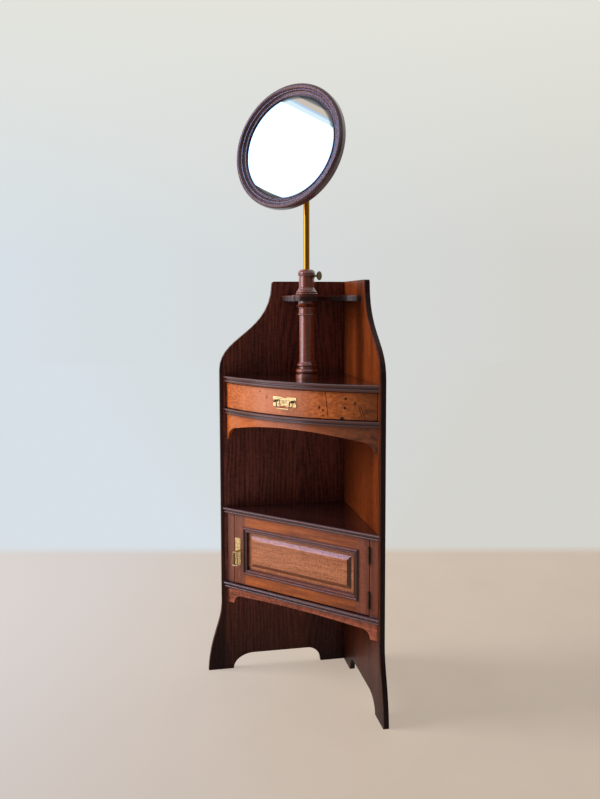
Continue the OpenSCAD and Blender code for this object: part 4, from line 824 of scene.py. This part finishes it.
class STAND_OT_aprons(bpy.types.Operator):
    """Finish the shaped aprons, the fixed stiles and the glued blocks"""

    bl_idname = "stand.aprons"
    bl_label = "Aprons and Stiles"

    def execute(self, context):
        finish(wood("Upper apron mahogany", "front", "ACROSS", 3.3, bands=24.0, ripple=0.5,
                    extra=apron_age), "upper_apron")
        finish(wood("Lower apron mahogany", "lower", "ACROSS", 3.9, bands=24.0, ripple=0.5),
               "lower_apron")
        finish(wood("Stile mahogany", "stile", "UP", 4.1, grime_and_shade=1.0, reach=0.014, coat=0.7,
                    relief=0.12, extra=stile_shade),
               "left_fixed_stile", "right_fixed_stile", "door_latch_stile", "door_hinge_stile")
        finish(wood("Inner pine", "pine", "ACROSS", 5.2, coat=0.0, roughness=(0.55, 0.75),
                    wear_and_highlight=0.2, pores=0.2),
               "upper_apron_blocks", "lower_apron_blocks", "drawer_guides", "drawer_kickers",
               "drawer_back", "drawer_bottom", "drawer_left_side", "drawer_right_side",
               "mirror_back")
        soften("upper_apron", "lower_apron", "left_fixed_stile", "right_fixed_stile")
        return {"FINISHED"}


class STAND_OT_drawer(bpy.types.Operator):
    """Finish the bowed drawer front, with its crack and worm holes"""

    bl_idname = "stand.drawer"
    bl_label = "Drawer"

    def execute(self, context):
        finish(wood("Drawer front mahogany", "front", "UP", 6.4,
                    bands=18.0, rings=0.10, fine=0.30, ripple=1.5, ripple_scale=170.0,
                    coat=0.35, gloss=0.22, relief=0.10, extra=drawer_age_and_sheen), "drawer_front")
        soften("drawer_front")
        return {"FINISHED"}


class STAND_OT_fittings(bpy.types.Operator):
    """Finish the drawer handle, the latch, the ball catch and the hinges"""

    bl_idname = "stand.fittings"
    bl_label = "Brass Fittings"

    def execute(self, context):
        finish(metal("Plate brass", "plate", 0.35, (0.28, 0.42)), "handle_plate", "latch_plate")
        finish(metal("Fitting brass", "fitting", 0.35, (0.14, 0.28)),
               "latch_stud", "latch_ring", "ball_catch", "catch_plate")
        finish(metal("Shaded handle brass", "handle", 0.5, (0.12, 0.26), extra=bail_highlight),
               "handle_posts", "handle_nuts", "drawer_bail")
        finish(metal("Hinge brass", "hinge", 0.8, (0.30, 0.50)),
               "hinge_frame_leaves", "hinge_door_leaves", "hinge_pins")
        finish(bpy.data.materials["Old steel"], "hinge_frame_screws", "hinge_door_screws",
               "mirror_back_screws", "mirror_plate_screws")
        self.handle_scrolls()
        self.latch_scrolls()
        return {"FINISHED"}

    def handle_scrolls(self):
        """Raised border and scrolls on the handle's back plate, which follows the bow."""
        turn = math.asin(HANDLE_X / DRAWER_RADIUS)

        def on_plate(u, v):
            angle = turn + u / PLATE_RADIUS
            return Vector((PLATE_RADIUS * math.sin(angle),
                           BOW_MIDDLE_Y - PLATE_RADIUS * math.cos(angle), HANDLE_Z + v))

        border = []
        for u, v in outline(0.0385, 0.0115, 80, (0.45, 0.45)):
            v *= 1.0 - 0.19 * max(0.0, 1.0 - (u / 0.026) ** 2)
            u *= 1.0 - 0.13 * max(0.0, 1.0 - (v / 0.008) ** 2)
            border.append((u, v))
        strokes = [border]
        curl = scroll(reach=0.0175, size=0.0036, lean=0.0040)
        for side in (-1, 1):
            for up in (-1, 1):
                strokes.append([(side * u, up * v) for u, v in curl])
        ring = outline(0.0011, 0.0011, 8, (1, 1))
        for row in (-1, 0, 1):
            count = 5 + row % 2
            for k in range(count):
                across, up = 0.0040 * (k - (count - 1) / 2), 0.0036 * row
                strokes.append([(across + u, up + v) for u, v in ring])
        raised_lines("handle_scrolls", strokes, on_plate, "drawer",
                     bpy.data.materials["Shaded handle brass"])

    def latch_scrolls(self):
        """Raised border and scrolls on the latch's back plate."""
        low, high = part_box("latch_plate")
        middle = (low + high) / 2
        half = (high - low) / 2

        def on_plate(u, v):
            return Vector((middle.x + u, low.y, middle.z + v))

        strokes = [outline(half.x - 0.0016, half.z - 0.0016, 72, (0.5, 0.35))]
        for up in (-1, 1):
            for side in (-1, 1):
                strokes.append([(side * (u - 0.0100), up * (v + 0.0200))
                                for u, v in scroll(0.0155, 0.0035, lean=0.0030)])
                strokes.append([(side * (u - 0.0100), up * (v + 0.0120))
                                for u, v in scroll(0.0150, 0.0030, lean=-0.0028)])
            strokes.append([(0.0016 * math.sin(8.0 * t), up * (0.012 + 0.014 * t))
                            for t in [0.1 * i for i in range(11)]])
        raised_lines("latch_scrolls", strokes, on_plate, "door",
                     bpy.data.materials["Fitting brass"])


class STAND_OT_door(bpy.types.Operator):
    """Finish the cupboard door: rails, mouldings and fielded panel"""

    bl_idname = "stand.door"
    bl_label = "Cupboard Door"

    def execute(self, context):
        finish(wood("Rail mahogany", "front", "ACROSS", 7.7, bands=22.0, fine=0.6, coat=0.5,
                    relief=0.12, grime_and_shade=1.0, reach=0.012, extra=rail_streaks_and_shade),
               "door_bottom_rail", "door_top_rail")
        finish(wood("Panel mahogany", "panel", "ACROSS", 8.9, bands=30.0, rings=0.10, fine=0.75,
                    ripple=0.50, ripple_scale=260.0, pores=1.0, coat=0.8, gloss=0.35,
                    relief=0.02, grime_and_shade=1.0, reach=0.012, extra=bevel_shade), "door_panel")
        finish(wood("Moulding mahogany, across", "mould", "ACROSS", 9.5, reach=0.014,
                    **POLISHED), "door_moulding_top", "door_moulding_bottom")
        finish(wood("Moulding mahogany, upright", "mould", "UP", 9.1, extra=bevel_shade,
                    **POLISHED), "door_moulding_left", "door_moulding_right")
        soften("door_top_rail", "door_bottom_rail", "door_latch_stile",
               "door_hinge_stile", "door_panel")
        return {"FINISHED"}


class STAND_OT_column(bpy.types.Operator):
    """Finish the turned column, the clamp screw and the sliding rod"""

    bl_idname = "stand.column"
    bl_label = "Column and Rod"

    def execute(self, context):
        finish(wood("Turned mahogany", "turned", "UP", 10.3,
                    bands=60.0, coat=1.0, gloss=0.15, relief=0.02, pores=0.3, wear_and_highlight=0.10,
                    roughness=(0.20, 0.30), grime_and_shade=1.0, reach=0.012, coat_ior=2.10),
               "column_shaft", "column_neck")
        finish(metal("Rod brass", "rod", 0.15, (0.10, 0.20)),
               "rod", "rod_tube", "mirror_arm", "pivot_bolt", "pivot_nut", "mirror_plate")
        finish(metal("Knob brass", "knob", 0.6, (0.25, 0.45)), "thumb_screw", "clamp_bush")
        return {"FINISHED"}


class STAND_OT_mirror(bpy.types.Operator):
    """Finish the mirror's frame and its silvered glass"""

    bl_idname = "stand.mirror"
    bl_label = "Mirror"

    def execute(self, context):
        metals = context.scene.stand_metal
        finish(wood("Mirror frame mahogany", "mirror", "ACROSS", 11.0,
                    bands=18.0, coat=1.0, gloss=0.45, relief=0.01, pores=0.0, fine=0.15,
                    wear_and_highlight=0.0, grime_and_shade=0.30, reach=0.003, roughness=(0.24, 0.34), polish=0.22),
               "mirror_frame")
        material, net, shader = new_material("Silvered glass")
        low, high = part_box("mirror_glass")
        middle = (low + high) / 2
        own = net.own()
        radius = net.length(net.vector("SUBTRACT", own, tuple(middle)))
        # Painted blue glint along the glass's edge.
        edge = net.span(radius, GLASS_RADIUS - metals.silver_reach, GLASS_RADIUS)
        edge = net.sum("POWER", edge, 0.45)
        net.fill(shader, {
            "Base Color": net.mix(edge, metals.silver, metals.silver_edge_glint), "Metallic": 1.0,
            "Roughness": net.span(net.noise(own, 12.0, 2.0), 0.3, 0.7, 0.0, 0.008)})
        finish(material, "mirror_glass")
        return {"FINISHED"}


class STAND_OT_stage(bpy.types.Operator):
    """Make the pale floor, the backdrop and the soft lights"""

    bl_idname = "stand.stage"
    bl_label = "Stage"

    def execute(self, context):
        stage = context.scene.stand_stage
        self.floor(stage)
        self.world(context.scene, stage)
        self.lamp("Key light", stage.key, stage.key_tint, size=(1.5, 2.6), bearing=-57.0,
                  rise=28.0, distance=3.4)
        return {"FINISHED"}

    def floor(self, stage):
        """A round floor that shadows fall on, which passes into the backdrop."""
        mesh = bmesh.new()
        bmesh.ops.create_circle(mesh, cap_ends=True, radius=stage.floor_reach, segments=96)
        material, net, shader = new_material("Pale floor")
        own = net.own()
        clouds = net.noise(own, 2.6, 4.0, 0.6)
        tint = net.mix(net.span(clouds, 0.3, 0.7), stage.floor, [0.95 * c for c in stage.floor])
        level, ahead = view_axes()
        # Painted cool window light on the floor's left.
        cool = net.span(net.dot(own, level), 0.1, -0.9)
        tint = net.mix(cool, tint, stage.floor_cool_light)
        net.fill(shader, {"Base Color": tint, "Roughness": 0.6, "Specular IOR Level": 0.15})
        path = net.add("LightPath").outputs
        camera, glossy = path["Is Camera Ray"], path["Is Glossy Ray"]
        seen = net.sum("MAXIMUM", camera, glossy)
        beyond = net.span(net.dot(own, ahead), stage.sweep - 0.06, stage.sweep + 0.06)
        away = net.times(net.span(net.length(own), *BACKDROP_FROM), camera)
        far = net.sum("MAXIMUM", net.times(beyond, seen), away)
        glow = net.span(net.dot(own, ahead), -0.9, 1.2, 1.03, 1.22)
        even = net.add("Emission", {"Color": net.mix(1.0, tint, (0.80, 0.78, 0.76), "MULTIPLY"),
                                    "Strength": glow})
        near = net.add("MixShader", {0: net.times(camera, stage.floor_glow),
                                     1: shader.outputs[0], 2: even.outputs[0]})
        radius = net.length(own)
        toward = self.between_sides(net, net.vector("NORMALIZE", own), 0.12)
        pool = net.times(toward, net.span(radius, *SUNLIT_FROM))
        shown = net.mix(pool, stage.floor_mirrored, stage.floor_sunlit)
        bright = net.times(toward, net.span(radius, *STREET_FROM))
        shine = net.sum("MULTIPLY_ADD", bright, stage.street - 1.0, 1.0)
        dim = net.add("Emission", {"Color": net.mix(bright, shown, stage.window_low),
                                   "Strength": shine})
        near = net.add("MixShader", {0: glossy, 1: near.outputs[0], 2: dim.outputs[0]})
        wall = net.add("Emission", {"Color": self.wall(net, own, stage), "Strength": 1.0})
        both = net.add("MixShader", {0: far, 1: near.outputs[0], 2: wall.outputs[0]})
        output = next(n for n in material.node_tree.nodes if n.type == "OUTPUT_MATERIAL")
        net.put(output.inputs["Surface"], both.outputs[0])
        new_piece("floor", mesh, material)

    def wall(self, net, way, stage):
        """The backdrop's colour, which changes a little from left to right."""
        across = net.dot(net.vector("NORMALIZE", way), view_axes()[0])
        return net.mix(net.span(across, -0.35, 0.30), stage.backdrop, stage.backdrop_right)

    def world(self, scene, stage):
        """An even backdrop to the camera, a soft fill, and a room with a window for gloss."""
        world = bpy.data.worlds.new("Soft room")
        scene.world = world
        world.use_nodes = True
        world.node_tree.nodes.clear()
        net = Net(world.node_tree)
        path = net.add("LightPath").outputs
        seen = net.sum("MAXIMUM", path["Is Camera Ray"], path["Is Transmission Ray"])
        way = net.add("TexCoord").outputs["Generated"]
        _, back, height = net.parts(way)
        wall = net.mix(net.span(height, 0.06, 0.36), self.wall(net, way, stage),
                       stage.backdrop_top)
        fill = net.mix(net.span(back, 0.1, 0.9), (stage.fill_front,) * 3, (stage.fill_back,) * 3)
        left = net.span(net.dot(way, (-0.94, -0.34, 0.0)), 0.30, 0.95)
        room = net.mix(left, stage.room_dim, stage.room_bright)
        room = net.mix(net.span(height, 0.15, 0.55), room, stage.room_bright)
        room = net.mix(net.span(net.dot(way, view_axes()[1]), 0.0, 0.35), room, wall)
        glossy = net.mix(self.window(net, way, height), room,
                         self.window_light(net, way, height, stage))
        lit = net.mix(path["Is Glossy Ray"], fill, glossy)
        shown = net.add("Background", {"Color": net.mix(seen, lit, wall), "Strength": 1.0})
        net.put(net.add("OutputWorld").inputs["Surface"], shown.outputs[0])

    def window(self, net, way, height):
        """Mask of the tall window at the left."""
        return net.times(self.between_sides(net, way, 0.07), net.span(height, *WINDOW_TOP))

    def between_sides(self, net, way, soft):
        """Mask of the directions between the two sides of the window, with a soft edge."""
        mask = 1.0
        for bearing, side in zip(WINDOW_SIDES, (1.0, -1.0)):
            turn = math.radians(bearing)
            across = (side * math.cos(turn), side * math.sin(turn), 0.0)
            mask = net.times(mask, net.span(net.dot(way, across), 0.0, soft))
        return mask

    def window_light(self, net, way, height, stage):
        """Sky above and a pale street below, crossed by the edges that the mirror shows.

        The mirror never shows the foot of the window, which lights the rod and the column."""
        sky = [stage.window_power * c for c in stage.window]
        low = [stage.window_glow * c for c in stage.window_low]
        light = net.mix(net.span(height, *WINDOW_SKY), low, sky)
        for across, tint in WINDOW_EDGES:
            past = net.span(net.dot(way, across), 0.0, 0.0016)
            light = net.mix(past, light, tint)
        foot = [stage.street * c for c in stage.window_low]
        return net.mix(net.span(height, *WINDOW_FOOT), light, foot)

    def lamp(self, name, power, tint, size, bearing, rise, distance):
        """A soft lamp seen from the stand at a bearing from straight ahead and a rise."""
        light = bpy.data.lights.new(name, "AREA")
        light.shape = "RECTANGLE"
        light.size, light.size_y = size
        light.energy = power
        light.color = tint
        lamp = bpy.data.objects.new(name, light)
        lamp.visible_glossy = False
        bpy.context.scene.collection.objects.link(lamp)
        turn, up = math.radians(bearing), math.radians(rise)
        way = Vector((math.sin(turn) * math.cos(up), -math.cos(turn) * math.cos(up), math.sin(up)))
        aim = Vector((0.0, -0.05, 0.85))
        lamp.location = aim + distance * way
        lamp.rotation_euler = way.to_track_quat("Z", "Y").to_euler()


class STAND_OT_camera(bpy.types.Operator):
    """Set the camera where the photograph was taken"""

    bl_idname = "stand.camera"
    bl_label = "Camera"

    def execute(self, context):
        view = context.scene.stand_camera
        data = bpy.data.cameras.new("photo_view")
        data.sensor_width = 36.0
        data.sensor_fit = "AUTO"
        data.lens = view.lens
        data.shift_y = view.shift
        data.clip_end = 100.0
        camera = bpy.data.objects.new("photo_view", data)
        context.scene.collection.objects.link(camera)
        ahead = Vector((-math.sin(view.heading) * math.cos(view.pitch),
                        math.cos(view.heading) * math.cos(view.pitch), -math.sin(view.pitch)))
        level = Vector(view_axes()[0])
        upward = level.cross(ahead)
        right = level * math.cos(view.roll) + upward * math.sin(view.roll)
        upward = upward * math.cos(view.roll) - level * math.sin(view.roll)
        turn = Matrix((right, upward, -ahead)).transposed().to_4x4()
        camera.matrix_world = Matrix.Translation(view.place) @ turn
        context.scene.camera = camera
        return {"FINISHED"}


class STAND_PT_panel(bpy.types.Panel):
    """The stand's settings and the operators that make it"""

    bl_idname = "STAND_PT_panel"
    bl_label = "Shaving Stand"
    bl_space_type = "VIEW_3D"
    bl_region_type = "UI"
    bl_category = "Shaving Stand"

    def draw(self, context):
        for operator in OPERATORS:
            self.layout.operator(operator.bl_idname)
        for name in SETTINGS:
            settings = getattr(context.scene, name)
            box = self.layout.box()
            box.label(text=settings.bl_rna.description)
            for field in settings.bl_rna.properties:
                if field.identifier not in {"rna_type", "name"}:
                    box.prop(settings, field.identifier)


SETTINGS = {
    "stand_wood": StandWood,
    "stand_metal": StandMetal,
    "stand_stage": StandStage,
    "stand_camera": StandCamera,
}

OPERATORS = (
    STAND_OT_boards, STAND_OT_shelves, STAND_OT_aprons, STAND_OT_drawer, STAND_OT_fittings,
    STAND_OT_door, STAND_OT_column, STAND_OT_mirror, STAND_OT_stage, STAND_OT_camera,
)


def register():
    for name, group in SETTINGS.items():
        bpy.utils.register_class(group)
        setattr(bpy.types.Scene, name, PointerProperty(type=group))
    for entry in (*OPERATORS, STAND_PT_panel):
        bpy.utils.register_class(entry)


def unregister():
    for entry in reversed((*OPERATORS, STAND_PT_panel)):
        bpy.utils.unregister_class(entry)
    for name, group in reversed(SETTINGS.items()):
        delattr(bpy.types.Scene, name)
        bpy.utils.unregister_class(group)


def main():
    """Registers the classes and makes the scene."""
    register()
    bpy.context.scene.view_settings.view_transform = "Standard"
    for operator in OPERATORS:
        area, name = operator.bl_idname.split(".")
        getattr(getattr(bpy.ops, area), name)()


if __name__ == "__main__":
    main()
